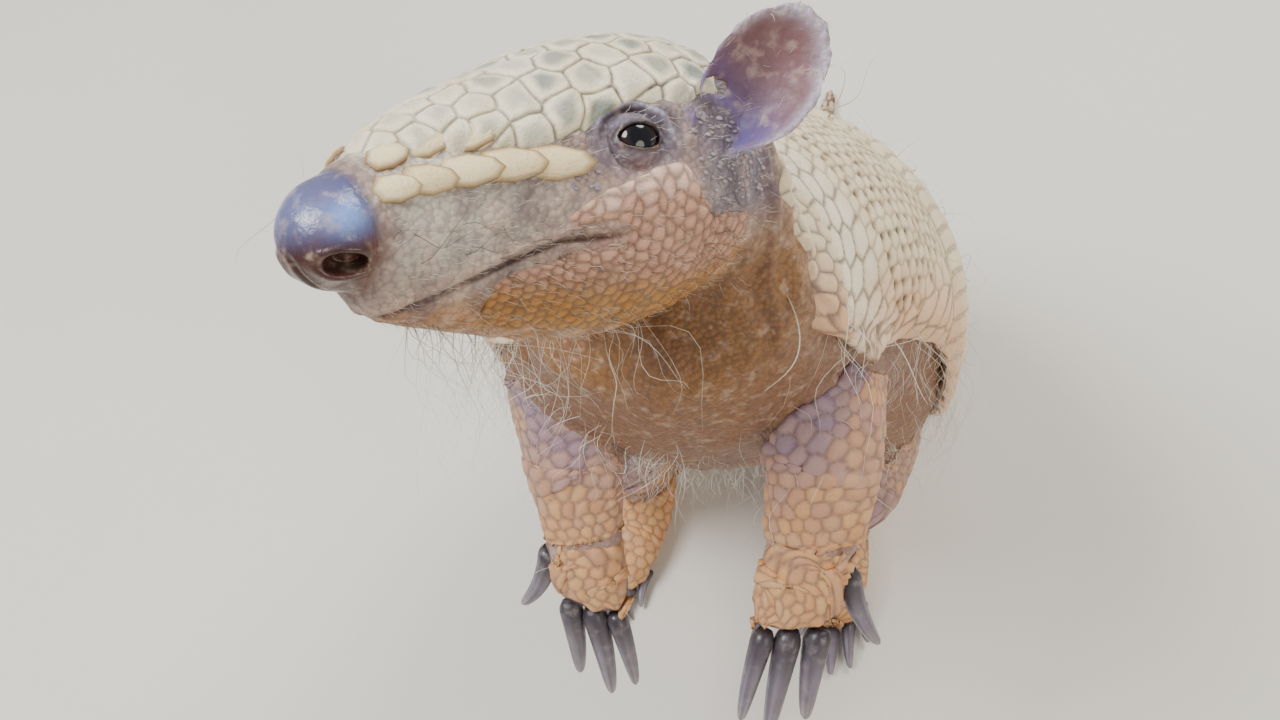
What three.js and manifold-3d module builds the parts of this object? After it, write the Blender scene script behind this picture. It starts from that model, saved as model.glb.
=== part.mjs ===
// A six-banded armadillo sitting up on its hind legs, as a still, life-size model.
// Millimetres and degrees. The animal faces -Y, its left side is +X, +Z is up and the floor is
// z = 0.
//
// Three working frames are used. The floor frame is upright, with its origin on the floor under
// the front end of the spine line. The trunk frame has its origin on the spine line at the front
// edge of the shell: x to the animal's left, y backwards along the spine line and z towards the
// back. The head frame has its origin midway between the ears: x left, y backwards, z up.

import * as THREE from "three";
import { mergeVertices } from "three/addons/utils/BufferGeometryUtils.js";
import Module from "manifold-3d";

const wasm = await Module();
wasm.setup();

const { clamp, degToRad, lerp, smoothstep } = THREE.MathUtils;
const point = (x, y, z) => new THREE.Vector3(x, y, z);

// ---------------------------------------------------------------------------------------------
// Driving dimensions
// ---------------------------------------------------------------------------------------------

const GAP = 0.4; // clear space between neighbouring pieces
const WELD = 1e-4; // points closer than this are one point
const SIDES = [
  ["left", 1],
  ["right", -1],
];

const TRUNK = {
  pitch: 54, // slope of the spine line against the floor
  frontHeight: 268.4, // height of the front end of the spine line above the floor
  shoulderRoll: 9, // how far the shoulders turn about the spine line, left side up
  twist: [60, 185], // stations between which that turn fades away
  stations: [-2, 12, 28, 48, 72, 99, 126, 153, 172, 190, 208, 226, 246, 264],
  bellySteps: 8,
};
const NECK_END = TRUNK.stations[0];
const RUMP_END = TRUNK.stations.at(-1);

const SHELL = {
  thickness: 3.2,
  inset: 5.4, // depth of the flesh under the outer face of the shell
  crownShare: 0.82, // share of a section, from crown to margin, that is above the widest line
  tuck: 0.05, // how far the margins turn in under the widest line, as a share of the width
  columns: 20,
  scapularEnd: 72,
  scapularRows: 6,
  frontRound: 5, // how far the middle of the front edge stands back from its sides
  bandCount: 7,
  bandPitch: 13.6,
  bandSlope: 1.9, // rise of a band from its front edge to its rear edge
  bandPivot: 0.75, // share of a band's length at which it is level with the shields
  pelvicRows: 6,
  end: 270,
  rearRound: 20, // how much shorter the rear shield is at its sides
};
const PELVIC_START = SHELL.scapularEnd + SHELL.bandCount * SHELL.bandPitch;

const HEAD = {
  position: point(-10.5, -38.8, 38.3), // in the trunk frame
  turn: -28.5, // towards the animal's right
  nod: 14.6, // nose down against the spine line
  tilt: -5,
  stations: [-92, -85, -76, -66, -56, -47, -39, -33, -27, -21, -14, -6, 3, 13],
  sides: 24,
  crownPower: 0.92, // fullness of the sections above the eyes' level; 1 is an ellipse
};
const SNOUT_END = HEAD.stations[0];
const OCCIPUT = HEAD.stations.at(-1);

const HEAD_SHIELD = {
  front: -79,
  back: 15,
  frontRound: 3,
  backRound: 5,
  thickness: 3.6,
  rimShare: 0.5, // thickness of the rim as a share of the middle
  clearance: 0.8,
  columns: 12,
  rows: 8,
};
const NOSE = {
  length: 14,
  radius: 12.2,
  drop: 1.6, // how far its middle lies under the head's axis
  fullness: [1, 1.04, 0.98, 0.78, 0.45], // of the sections from the snout to the tip
  sides: 12,
  nostril: { radius: 2.9, x: 8, back: 2.5, z: -4.5 }, // place from the middle of the tip
};
const EYE = { radius: 6.1, x: 26.4, y: -27, z: 9, detail: 2 };
const ORBIT = { depth: 3.2, length: 13, height: 9 }; // the hollow of the face round the eye
const EAR = {
  length: 38,
  sunk: 0.12, // share of the length that reaches into the head
  thickness: 1.6,
  root: point(31, 2, 12),
  opening: point(0.62, -0.7, -0.1), // the way that the funnel opens
  pointing: { left: point(0.62, 0.42, 0.66), right: point(-0.55, 0.8, 0.22) },
  rows: 7,
  columns: 6,
};
const NECK = { steps: 5, pullTrunk: 34, pullHead: 26, axisHeight: 5 };
const NUCHAL_BAND = { from: 0.1, to: 0.34, thickness: 2.6, clearance: 0.6 }; // shares of the neck
const TAIL = { length: 200, cuts: [0, 52, 122, 200], sides: 12, steps: 5, rootLift: 4, settle: 0.5 };

// Legs: each path runs from inside the trunk to the wrist or ankle. The forelegs' points are in
// the trunk frame. The hind legs' are the left leg's, the hip in the trunk frame and the rest in
// the floor frame.
const LEG_SIDES = 12;
const LEG_STEPS = 7;
const FOOT_STEPS = 5;
const FORELEG = {
  left: {
    path: [point(32, 44, 8), point(42, 33, -12), point(47, 31, -38), point(47, 33, -63)],
    knuckle: point(43, 33, -89),
    dorsal: point(0.25, -1, -0.1), // the way that the back of the hand faces
    clawTurn: 8,
  },
  right: {
    path: [point(-34, 46, 4), point(-45, 54, -20), point(-38, 62, -52), point(-32, 71, -80)],
    knuckle: point(-27, 77, -104),
    dorsal: point(0.05, -1, -0.25),
    clawTurn: 0,
  },
};
const HIND_LEG = {
  hip: point(40, 222, -4),
  knee: point(52, 66, 76),
  ankle: point(43, 84, 20),
  heel: point(42, 92, 9.5),
  toeOut: 6,
};
const HAND = { overlap: 1, extra: 3, slant: 0.3, clawDip: 6 };
const FOOT = { length: 66, slant: 0, clawDip: 0 };

// Claws, from the inner toe to the outer one: place across the foot and above its middle,
// distance of the root behind the foot's end, length, width, and turn outwards.
const CLAW = { sides: 6, steps: 3, root: 4, taper: 0.86, taperPower: 1.6, bend: 0.17, deep: 1.12 };
const FORE_CLAWS = [
  { across: -8.6, above: -4.4, back: 9, length: 19, width: 5, splay: -6 },
  { across: -7.4, above: 0.8, back: -1, length: 33, width: 6.4, splay: -3 },
  { across: 0, above: 0.5, back: 0, length: 38, width: 7.4, splay: 0 },
  { across: 7.6, above: 0.5, back: 4, length: 33, width: 7, splay: 4 },
  { across: 11.6, above: 0.5, back: 18, length: 23, width: 6, splay: 33 },
];
const HIND_CLAWS = [
  { across: -10.9, above: -4.2, back: 9, length: 13, width: 4.6, splay: -10 },
  { across: -6.3, above: -4.2, back: 1, length: 18, width: 5.2, splay: -4 },
  { across: 0, above: -4.2, back: 0, length: 20, width: 5.6, splay: 0 },
  { across: 6.3, above: -4.2, back: 1.5, length: 18, width: 5.2, splay: 5 },
  { across: 10.9, above: -4.2, back: 9, length: 14, width: 4.8, splay: 14 },
];

// ---------------------------------------------------------------------------------------------
// Curves of the body's dimensions, as [station, value] pairs
// ---------------------------------------------------------------------------------------------

/** A smooth curve through [station, value] pairs, level beyond both ends. */
function profile(...pairs) {
  const slope = (i) => {
    const before = pairs[Math.max(i - 1, 0)];
    const after = pairs[Math.min(i + 1, pairs.length - 1)];
    return (after[1] - before[1]) / (after[0] - before[0]);
  };
  return (at) => {
    let i = 0;
    while (i < pairs.length - 2 && at > pairs[i + 1][0]) {
      i += 1;
    }
    const [start, from] = pairs[i];
    const [end, to] = pairs[i + 1];
    const u = clamp((at - start) / (end - start), 0, 1);
    const leaving = u * (1 - u) * (1 - u) * (end - start) * slope(i);
    const arriving = u * u * (u - 1) * (end - start) * slope(i + 1);
    return lerp(from, to, u * u * (3 - 2 * u)) + leaving + arriving;
  };
}

// Along the spine line: the shell's half width and height, the drop of its margins under the
// widest line, the depth of the belly under the spine line, and how keeled the belly is.
const shellHalfWidth = profile([0, 46], [20, 60], [50, 74], [100, 84], [200, 82], [240, 68], [270, 38]);
const shellHeight = profile([0, 50], [40, 66], [90, 75], [150, 78], [200, 74], [240, 59], [270, 27]);
const marginDrop = profile([0, 8], [72, 13], [120, 28], [200, 33], [250, 20], [270, 6]);
const bellyDepth = profile([-2, 29], [40, 48], [100, 56], [160, 57], [215, 44], [246, 27], [264, 14]);
const bellyKeel = profile([0, 1.6], [40, 2.1], [80, 1.6], [120, 1], [180, 1.1], [220, 1.7], [264, 1.1]);

// Along the head, from the snout's end: half width, crown, underside, and how narrow the jaw is.
const headHalfWidth = profile([-92, 11.5], [-78, 15], [-62, 19.2], [-45, 25], [-27, 32], [-12, 36], [13, 34]);
const headTop = profile([-92, 12.5], [-78, 17.5], [-62, 22.5], [-45, 26.6], [-27, 30.5], [-8, 32], [13, 29]);
const headBottom = profile([-92, 19], [-84, 23.5], [-72, 27.5], [-52, 33.5], [-30, 38.5], [-8, 39], [13, 33]);
const jawKeel = profile([-92, 1], [-60, 1.15], [-30, 1.3], [0, 1.2], [13, 1]);
// Angle of the head shield's lower edge above the horizontal.
const shieldEdge = profile([-79, 40], [-60, 27], [-44, 20], [-27, 33], [-10, 26], [3, 32], [15, 44]);

// Along an ear, a leg, a hand, a hind foot and the tail.
const earHalfBreadth = profile([0, 7], [0.3, 11.5], [0.6, 13], [0.85, 9.5], [1, 3.5]);
const earRoll = profile([0, 140], [0.35, 95], [0.7, 60], [1, 40]);
const forelegHalfWidth = profile([0, 17], [0.35, 18], [0.7, 17.5], [1, 13.5]);
const forelegHalfDepth = profile([0, 17], [0.35, 16], [0.7, 13.5], [1, 10]);
const hindLegHalfWidth = profile([0, 26], [0.3, 26], [0.7, 17], [1, 12]);
const hindLegHalfDepth = profile([0, 32], [0.3, 31], [0.7, 19], [1, 13]);
const handHalfWidth = profile([0, 12.6], [0.35, 13.5], [0.8, 14.5], [1, 12]);
const handHalfDepth = profile([0, 9.6], [0.5, 9.4], [0.85, 7.5], [1, 5]);
const footHalfWidth = profile([0, 6.5], [0.2, 12.5], [0.7, 14.5], [1, 12]);
const footHalfDepth = profile([0, 9], [0.2, 14], [0.6, 11.5], [0.8, 10], [1, 7.5]);
const tailRadius = profile([0, 17], [60, 13], [130, 8], [200, 2.2]);

// ---------------------------------------------------------------------------------------------
// Closed solids from rings and grids of points
// ---------------------------------------------------------------------------------------------

function indices(count) {
  return Array.from({ length: count }, (_, i) => i);
}

/** Values from a to b in `count` equal steps, both ends included. */
function steps(a, b, count) {
  return indices(count + 1).map((i) => lerp(a, b, i / count));
}

/** The angles of a ring's points, one for each side. */
function ringAngles(sides) {
  return indices(sides).map((i) => (2 * Math.PI * i) / sides);
}

/** An indexed geometry whose triangles all face out. */
function geometryFrom(points, triangles) {
  const volume = triangles.reduce((sum, [a, b, c]) => {
    const corner = points[a].clone().cross(points[b]);
    return sum + corner.dot(points[c]);
  }, 0);
  const outward = volume > 0 ? triangles : triangles.map(([a, b, c]) => [a, c, b]);
  const geometry = new THREE.BufferGeometry();
  const numbers = points.flatMap((p) => p.toArray());
  geometry.setAttribute("position", new THREE.Float32BufferAttribute(numbers, 3));
  geometry.setIndex(outward.flat());
  return geometry;
}

function centre(ring) {
  return ring.reduce((sum, p) => sum.add(p), point(0, 0, 0)).divideScalar(ring.length);
}

/** Joins closed rings of points into one solid with a fan over each end. */
function solidFromRings(rings) {
  const sides = rings[0].length;
  const lastRing = (rings.length - 1) * sides;
  const points = [...rings.flat(), centre(rings[0]), centre(rings.at(-1))];
  const first = points.length - 2;
  const last = points.length - 1;
  const triangles = [];
  for (const j of indices(sides)) {
    const next = (j + 1) % sides;
    triangles.push([first, next, j], [last, lastRing + j, lastRing + next]);
    for (const i of indices(rings.length - 1)) {
      const a = i * sides + j;
      const b = i * sides + next;
      triangles.push([a, b, a + sides], [b, b + sides, a + sides]);
    }
  }
  return geometryFrom(points, triangles);
}

/** Moves every ring outwards, and the two end rings along the solid too. */
function grown(rings, amount) {
  const middles = rings.map(centre);
  const endShift = (i, inner) => middles[i].clone().sub(middles[inner]).setLength(amount);
  return rings.map((ring, i) => {
    const shift = point(0, 0, 0);
    if (i === 0) {
      shift.copy(endShift(0, 1));
    }
    if (i === rings.length - 1) {
      shift.copy(endShift(i, i - 1));
    }
    return ring.map((p) => {
      const out = p.clone().sub(middles[i]).setLength(amount);
      return p.clone().add(out).add(shift);
    });
  });
}

/** A plate between an outer and an inner grid of points, closed round its rim. */
function plate(outer, inner) {
  const rows = outer.length;
  const columns = outer[0].length;
  const under = rows * columns;
  const at = (i, j) => i * columns + j;
  const triangles = [];
  const quad = (a, b, c, d) => triangles.push([a, b, c], [a, c, d]);
  for (const i of indices(rows - 1)) {
    for (const j of indices(columns - 1)) {
      const corners = [at(i, j), at(i, j + 1), at(i + 1, j + 1), at(i + 1, j)];
      quad(...corners);
      quad(...corners.reverse().map((corner) => under + corner));
    }
  }
  const rim = [
    ...indices(columns - 1).map((j) => at(0, j)),
    ...indices(rows - 1).map((i) => at(i, columns - 1)),
    ...indices(columns - 1).map((j) => at(rows - 1, columns - 1 - j)),
    ...indices(rows - 1).map((i) => at(rows - 1 - i, 0)),
  ];
  rim.forEach((a, k) => {
    const b = rim[(k + 1) % rim.length];
    quad(b, a, under + a, under + b);
  });
  return geometryFrom([...outer.flat(), ...inner.flat()], triangles);
}

/** Rings of ellipses square to a smooth path, their widths as near to the x axis as they can. */
function legRings(path, halfWidth, halfDepth) {
  const curve = new THREE.CatmullRomCurve3(path, false, "centripetal");
  return steps(0, 1, LEG_STEPS).map((u) => {
    const middle = curve.getPoint(u);
    const along = curve.getTangent(u);
    const across = point(1, 0, 0).addScaledVector(along, -along.x).normalize();
    const deep = along.clone().cross(across);
    return ringAngles(LEG_SIDES).map((a) =>
      middle
        .clone()
        .addScaledVector(across, halfWidth(u) * Math.cos(a))
        .addScaledVector(deep, halfDepth(u) * Math.sin(a)),
    );
  });
}

function mirrored(rings, side) {
  return rings.map((ring) => ring.map((p) => point(side * p.x, p.y, p.z)));
}

// ---------------------------------------------------------------------------------------------
// Cuts
// ---------------------------------------------------------------------------------------------

function toManifold(geometry, matrix) {
  const bare = geometry.clone().applyMatrix4(matrix);
  bare.deleteAttribute("normal");
  bare.deleteAttribute("uv");
  const merged = mergeVertices(bare, WELD);
  const mesh = new wasm.Mesh({
    numProp: 3,
    vertProperties: new Float32Array(merged.attributes.position.array),
    triVerts: new Uint32Array(merged.index.array),
  });
  return new wasm.Manifold(mesh);
}

/** Cuts each [geometry, frame] cutter from a geometry in `frame` and keeps the largest piece. */
function carved(geometry, frame, cutters) {
  const toLocal = frame.clone().invert();
  let solid = toManifold(geometry, new THREE.Matrix4());
  for (const [cutter, cutterFrame] of cutters) {
    solid = solid.subtract(toManifold(cutter, toLocal.clone().multiply(cutterFrame)));
  }
  const [largest] = solid.decompose().sort((a, b) => b.volume() - a.volume());
  const { vertProperties, triVerts } = largest.getMesh();
  const result = new THREE.BufferGeometry();
  result.setAttribute("position", new THREE.BufferAttribute(new Float32Array(vertProperties), 3));
  result.setIndex(new THREE.BufferAttribute(triVerts, 1));
  return result;
}

// ---------------------------------------------------------------------------------------------
// Frames
// ---------------------------------------------------------------------------------------------

const SAME_FRAME = new THREE.Matrix4();

const animal = new THREE.Group();

const trunkGroup = new THREE.Group();
trunkGroup.position.z = TRUNK.frontHeight;
trunkGroup.rotation.x = -degToRad(TRUNK.pitch);
trunkGroup.updateMatrix();
animal.add(trunkGroup);

const headGroup = new THREE.Group();
headGroup.position.copy(HEAD.position);
headGroup.rotation.set(degToRad(HEAD.nod), degToRad(HEAD.tilt), degToRad(HEAD.turn), "ZXY");
headGroup.updateMatrix();
trunkGroup.add(headGroup);

/** A frame at `origin` whose -Y points forward and whose +Z leans as near to `up` as it can. */
function aimedFrame(origin, forward, up) {
  const back = forward.clone().negate().normalize();
  const top = up.clone().addScaledVector(back, -up.dot(back)).normalize();
  const left = back.clone().cross(top);
  return new THREE.Matrix4().makeBasis(left, back, top).setPosition(origin);
}

/** The place in the floor frame of a point of the trunk frame. */
function inFloorFrame(p) {
  return p.clone().applyMatrix4(trunkGroup.matrix);
}

// ---------------------------------------------------------------------------------------------
// Finishes
// ---------------------------------------------------------------------------------------------

function finish(color, roughness) {
  return () => new THREE.MeshStandardMaterial({ color, roughness, metalness: 0 });
}

const shellFinish = finish(0xcfc3a0, 0.6);
const headShieldFinish = finish(0xdcd6c0, 0.5);
const skinFinish = finish(0xb98d7c, 0.75);
const faceFinish = finish(0x9b9088, 0.75);
const earFinish = finish(0x8d7a8f, 0.7);
const clawFinish = finish(0x77737c, 0.4);
const noseFinish = finish(0x6f6468, 0.3);
const eyeFinish = finish(0x1c1414, 0.1);

function add(group, name, geometry, material, frame = SAME_FRAME) {
  const mesh = new THREE.Mesh(geometry, material());
  mesh.name = name;
  frame.decompose(mesh.position, mesh.quaternion, mesh.scale);
  group.add(mesh);
}

// ---------------------------------------------------------------------------------------------
// Shell
// ---------------------------------------------------------------------------------------------

/** Turns a section point about the spine line by the twist of the trunk at station y. */
function twisted(x, y, z) {
  const roll = degToRad(TRUNK.shoulderRoll) * (1 - smoothstep(y, ...TRUNK.twist));
  return point(
    x * Math.cos(roll) - z * Math.sin(roll),
    y,
    z * Math.cos(roll) + x * Math.sin(roll),
  );
}

/** A point of the shell's outer face raised by `lift`; s runs from 1, left margin, to -1, right. */
function shellPoint(y, s, lift) {
  const angle = Math.min(Math.abs(s) / SHELL.crownShare, 1) * Math.PI * 0.5;
  const below = Math.max(Math.abs(s) - SHELL.crownShare, 0) / (1 - SHELL.crownShare);
  const width = (shellHalfWidth(y) + lift) * (1 - SHELL.tuck * below * below);
  const height = (shellHeight(y) + lift) * Math.cos(angle) - marginDrop(y) * below;
  return twisted(Math.sign(s) * width * Math.sin(angle), y, height);
}

/** A piece of shell between two edges, functions of s; `lift` is a function of the row's share. */
function shellPlate({ front, rear, rows, lift }, grow = 0) {
  const grid = (offset) =>
    steps(0, 1, rows).map((u) =>
      steps(1, -1, SHELL.columns).map((s) => {
        const y = lerp(front(s) - grow, rear(s) + grow, u);
        return shellPoint(y, s, lift(u) + offset);
      }),
    );
  return plate(grid(grow), grid(-SHELL.thickness - grow));
}

const SCAPULAR_SHIELD = {
  front: (s) => SHELL.frontRound * (1 - Math.abs(s)),
  rear: () => SHELL.scapularEnd - GAP,
  rows: SHELL.scapularRows,
  lift: () => 0,
};
const PELVIC_SHIELD = {
  front: () => PELVIC_START,
  rear: (s) => SHELL.end - SHELL.rearRound * Math.abs(s) ** 3,
  rows: SHELL.pelvicRows,
  lift: () => 0,
};

function movableBand(k) {
  const start = SHELL.scapularEnd + k * SHELL.bandPitch;
  return {
    front: () => start,
    rear: () => start + SHELL.bandPitch - GAP,
    rows: 1,
    lift: (u) => SHELL.bandSlope * (u - SHELL.bandPivot),
  };
}

function addShell() {
  add(trunkGroup, "scapular_shield", shellPlate(SCAPULAR_SHIELD), shellFinish);
  for (const k of indices(SHELL.bandCount)) {
    add(trunkGroup, `band_${k + 1}`, shellPlate(movableBand(k)), shellFinish);
  }
  add(trunkGroup, "pelvic_shield", shellPlate(PELVIC_SHIELD), shellFinish);
}

// ---------------------------------------------------------------------------------------------
// Trunk
// ---------------------------------------------------------------------------------------------

/** A ring of the trunk's flesh: under the shell from left to right, then back round the belly. */
function trunkRing(y, grow = 0) {
  const lift = grow - SHELL.inset;
  const back = steps(1, -1, SHELL.columns).map((s) => shellPoint(y, s, lift));
  const marginWidth = (shellHalfWidth(y) + lift) * (1 - SHELL.tuck);
  const hang = bellyDepth(y) + grow - marginDrop(y);
  const belly = steps(Math.PI, 2 * Math.PI, TRUNK.bellySteps)
    .slice(1, -1)
    .map((a) => {
      const reach = Math.sign(Math.cos(a)) * Math.abs(Math.cos(a)) ** bellyKeel(y);
      return twisted(marginWidth * reach, y, hang * Math.sin(a) - marginDrop(y));
    });
  return [...back, ...belly];
}

function trunkSolid(grow = 0) {
  return solidFromRings(TRUNK.stations.map((y) => trunkRing(y, grow)));
}

// ---------------------------------------------------------------------------------------------
// Head
// ---------------------------------------------------------------------------------------------

/** A point of the head's skin; the angle a is 0 at the left and a quarter turn at the crown. */
function headPoint(y, a, lift = 0) {
  const upper = Math.sin(a) > 0;
  const height = (upper ? headTop(y) : headBottom(y)) + lift;
  const power = upper ? HEAD.crownPower : jawKeel(y);
  const reach = Math.abs(Math.cos(a));
  const side = Math.sign(Math.cos(a));
  const z = height * Math.sin(a);
  const along = (y - EYE.y) / ORBIT.length;
  const above = (z - EYE.z) / ORBIT.height;
  const hollow = ORBIT.depth * reach * Math.exp(-along * along - above * above);
  return point(side * ((headHalfWidth(y) + lift) * reach ** power - hollow), y, z);
}

function headRings() {
  return HEAD.stations.map((y) => ringAngles(HEAD.sides).map((a) => headPoint(y, a)));
}

function headShield(grow = 0) {
  const { front, back, frontRound, backRound, thickness, rimShare, clearance } = HEAD_SHIELD;
  const grid = (lift) =>
    steps(0, 1, HEAD_SHIELD.rows).map((u) =>
      steps(1, -1, HEAD_SHIELD.columns).map((s) => {
        const start = front + frontRound * s * s - grow;
        const end = back - backRound * s * s + grow;
        const y = lerp(start, end, u);
        const a = degToRad(90 - s * (90 + grow - shieldEdge(y)));
        return headPoint(y, a, lift(u, s));
      }),
    );
  const fullness = (u, s) => {
    const nearestRim = Math.max(Math.abs(s), Math.abs(2 * u - 1));
    return lerp(1, rimShare, nearestRim ** 8);
  };
  return plate(
    grid((u, s) => clearance + thickness * fullness(u, s) + grow),
    grid(() => clearance - grow),
  );
}

function nosePad() {
  const { length, radius, drop, fullness, nostril } = NOSE;
  const start = SNOUT_END - GAP;
  const rings = fullness.map((full, i) => {
    const y = start - (length * i) / (fullness.length - 1);
    return ringAngles(NOSE.sides).map((a) =>
      point(radius * full * Math.cos(a), y, radius * full * Math.sin(a) - drop),
    );
  });
  const nostrils = SIDES.map(([, side]) => {
    const hole = new THREE.SphereGeometry(nostril.radius, 7, 5);
    hole.translate(side * nostril.x, start - length + nostril.back, nostril.z - drop);
    return [hole, SAME_FRAME];
  });
  return carved(solidFromRings(rings), SAME_FRAME, nostrils);
}

function eyeBall(side, grow = 0) {
  const ball = new THREE.IcosahedronGeometry(EYE.radius + grow, EYE.detail);
  ball.translate(side * EYE.x, EYE.y, EYE.z);
  ball.deleteAttribute("normal");
  ball.deleteAttribute("uv");
  return mergeVertices(ball, WELD);
}

/** A funnel that opens from a rolled root to a wide leaf; it stands up z and opens to -y. */
function pinna(side) {
  const grid = (offset) =>
    steps(0, 1, EAR.rows).map((u) =>
      steps(-1, 1, EAR.columns).map((v) => {
        const half = degToRad(earRoll(u));
        const radius = earHalfBreadth(u) / Math.sin(Math.min(half, Math.PI / 2));
        const a = v * half;
        const deep = radius - (radius + offset) * Math.cos(a);
        return point(side * (radius + offset) * Math.sin(a), -deep, EAR.length * (u - EAR.sunk));
      }),
    );
  return plate(grid(EAR.thickness), grid(0));
}

function earFrame(suffix, side) {
  const up = EAR.pointing[suffix].clone().normalize();
  const opening = point(side * EAR.opening.x, EAR.opening.y, EAR.opening.z);
  const back = opening.addScaledVector(up, -opening.dot(up)).normalize().negate();
  const root = point(side * EAR.root.x, EAR.root.y, EAR.root.z);
  return new THREE.Matrix4().makeBasis(back.clone().cross(up), back, up).setPosition(root);
}

function addHead() {
  const sockets = SIDES.map(([, side]) => [eyeBall(side, GAP), SAME_FRAME]);
  const head = carved(solidFromRings(headRings()), SAME_FRAME, sockets);
  add(headGroup, "head", head, faceFinish);
  add(headGroup, "head_shield", headShield(), headShieldFinish);
  add(headGroup, "nose", nosePad(), noseFinish);
  const skull = solidFromRings(grown(headRings(), GAP));
  const cutters = [skull, headShield(GAP)].map((cutter) => [cutter, SAME_FRAME]);
  for (const [suffix, side] of SIDES) {
    const frame = earFrame(suffix, side);
    add(headGroup, `ear_${suffix}`, carved(pinna(side), frame, cutters), earFinish, frame);
    add(headGroup, `eye_${suffix}`, eyeBall(side), eyeFinish);
  }
}

// ---------------------------------------------------------------------------------------------
// Neck
// ---------------------------------------------------------------------------------------------

/** The ring of the neck at share u of the way from the trunk to the head, in the trunk frame. */
function neckRing(u) {
  const leave = point(0, -NECK.pullTrunk, 0);
  const arrive = point(0, -1, 0).transformDirection(headGroup.matrix).setLength(NECK.pullHead);
  return trunkRing(NECK_END).map((rim) => {
    const start = rim.clone().setY(NECK_END - GAP);
    const angle = Math.atan2(start.z - NECK.axisHeight, start.x);
    const end = headPoint(OCCIPUT, angle).setY(OCCIPUT + GAP).applyMatrix4(headGroup.matrix);
    return start
      .lerp(end, u * u * (3 - 2 * u))
      .addScaledVector(leave, u * (1 - u) * (1 - u))
      .addScaledVector(arrive, u * u * (u - 1));
  });
}

function nuchalBand() {
  const grid = (lift) =>
    steps(NUCHAL_BAND.from, NUCHAL_BAND.to, 1).map((u) => {
      const ring = neckRing(u);
      const middle = centre(ring);
      const back = ring.slice(1, SHELL.columns);
      return back.map((p) => p.clone().add(p.clone().sub(middle).setLength(lift)));
    });
  const { clearance, thickness } = NUCHAL_BAND;
  return plate(grid(clearance + thickness), grid(clearance));
}

function addNeck() {
  const neck = solidFromRings(steps(0, 1, NECK.steps).map(neckRing));
  add(trunkGroup, "neck", neck, skinFinish);
  add(trunkGroup, "nuchal_band", nuchalBand(), shellFinish);
}

// ---------------------------------------------------------------------------------------------
// Legs, feet and claws
// ---------------------------------------------------------------------------------------------

/** A foot with its ankle at the origin, toes towards -Y and its back towards +Z. */
function footRings({ length, halfWidth, halfDepth, slant, lowest }) {
  return steps(0, 1, FOOT_STEPS).map((u) =>
    ringAngles(LEG_SIDES).map((a) => {
      const x = halfWidth(u) * Math.cos(a);
      const z = halfDepth(u) * Math.sin(a);
      return point(x, u * (slant * x - length), Math.max(z, lowest));
    }),
  );
}

/** A tapering claw whose root is at the origin and whose tip points to -Y, bent down. */
function clawRings({ length, width }) {
  return steps(0, 1, CLAW.steps).map((u) => {
    const radius = width * 0.5 * (1 - CLAW.taper * u ** CLAW.taperPower);
    const drop = CLAW.bend * length * u * u;
    return ringAngles(CLAW.sides).map((a) =>
      point(
        radius * Math.cos(a),
        -(length + CLAW.root) * u,
        radius * CLAW.deep * Math.sin(a) - drop,
      ),
    );
  });
}

/** Adds the five claws of a foot, cut clear of the foot whose cutter is given. */
function addClaws(group, name, claws, foot) {
  claws.forEach((claw, k) => {
    const dip = degToRad(foot.clawDip);
    const splay = foot.side * degToRad(claw.splay + foot.clawTurn);
    const place = new THREE.Matrix4()
      .makeRotationFromEuler(new THREE.Euler(dip, 0, splay))
      .setPosition(
        foot.side * claw.across,
        CLAW.root + claw.back - foot.length,
        claw.above,
      );
    const frame = foot.frame.clone().multiply(place);
    const solid = carved(solidFromRings(clawRings(claw)), frame, [[foot.cutter, foot.frame]]);
    add(group, `${name}_${k + 1}`, solid, clawFinish, frame);
  });
}

function addForeleg(suffix, side, trunkCutters) {
  const { path, knuckle, dorsal, clawTurn } = FORELEG[suffix];
  const legs = legRings(path, forelegHalfWidth, forelegHalfDepth);
  const leg = carved(solidFromRings(legs), SAME_FRAME, trunkCutters);
  add(trunkGroup, `foreleg_${suffix}`, leg, skinFinish);

  const wrist = path.at(-1);
  const forward = knuckle.clone().sub(wrist);
  const length = forward.length() + HAND.extra;
  const start = wrist.clone().addScaledVector(forward.clone().normalize(), -HAND.overlap);
  const frame = aimedFrame(start, forward, dorsal);
  const rings = footRings({
    length,
    halfWidth: handHalfWidth,
    halfDepth: handHalfDepth,
    slant: side * HAND.slant,
    lowest: -Infinity,
  });
  const legCutter = solidFromRings(grown(legs, GAP));
  const hand = carved(solidFromRings(rings), frame, [[legCutter, SAME_FRAME]]);
  add(trunkGroup, `forefoot_${suffix}`, hand, skinFinish, frame);
  const cutter = solidFromRings(grown(rings, GAP));
  const foot = { ...HAND, side, length, frame, cutter, clawTurn };
  addClaws(trunkGroup, `foreclaw_${suffix}`, FORE_CLAWS, foot);
}

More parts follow.
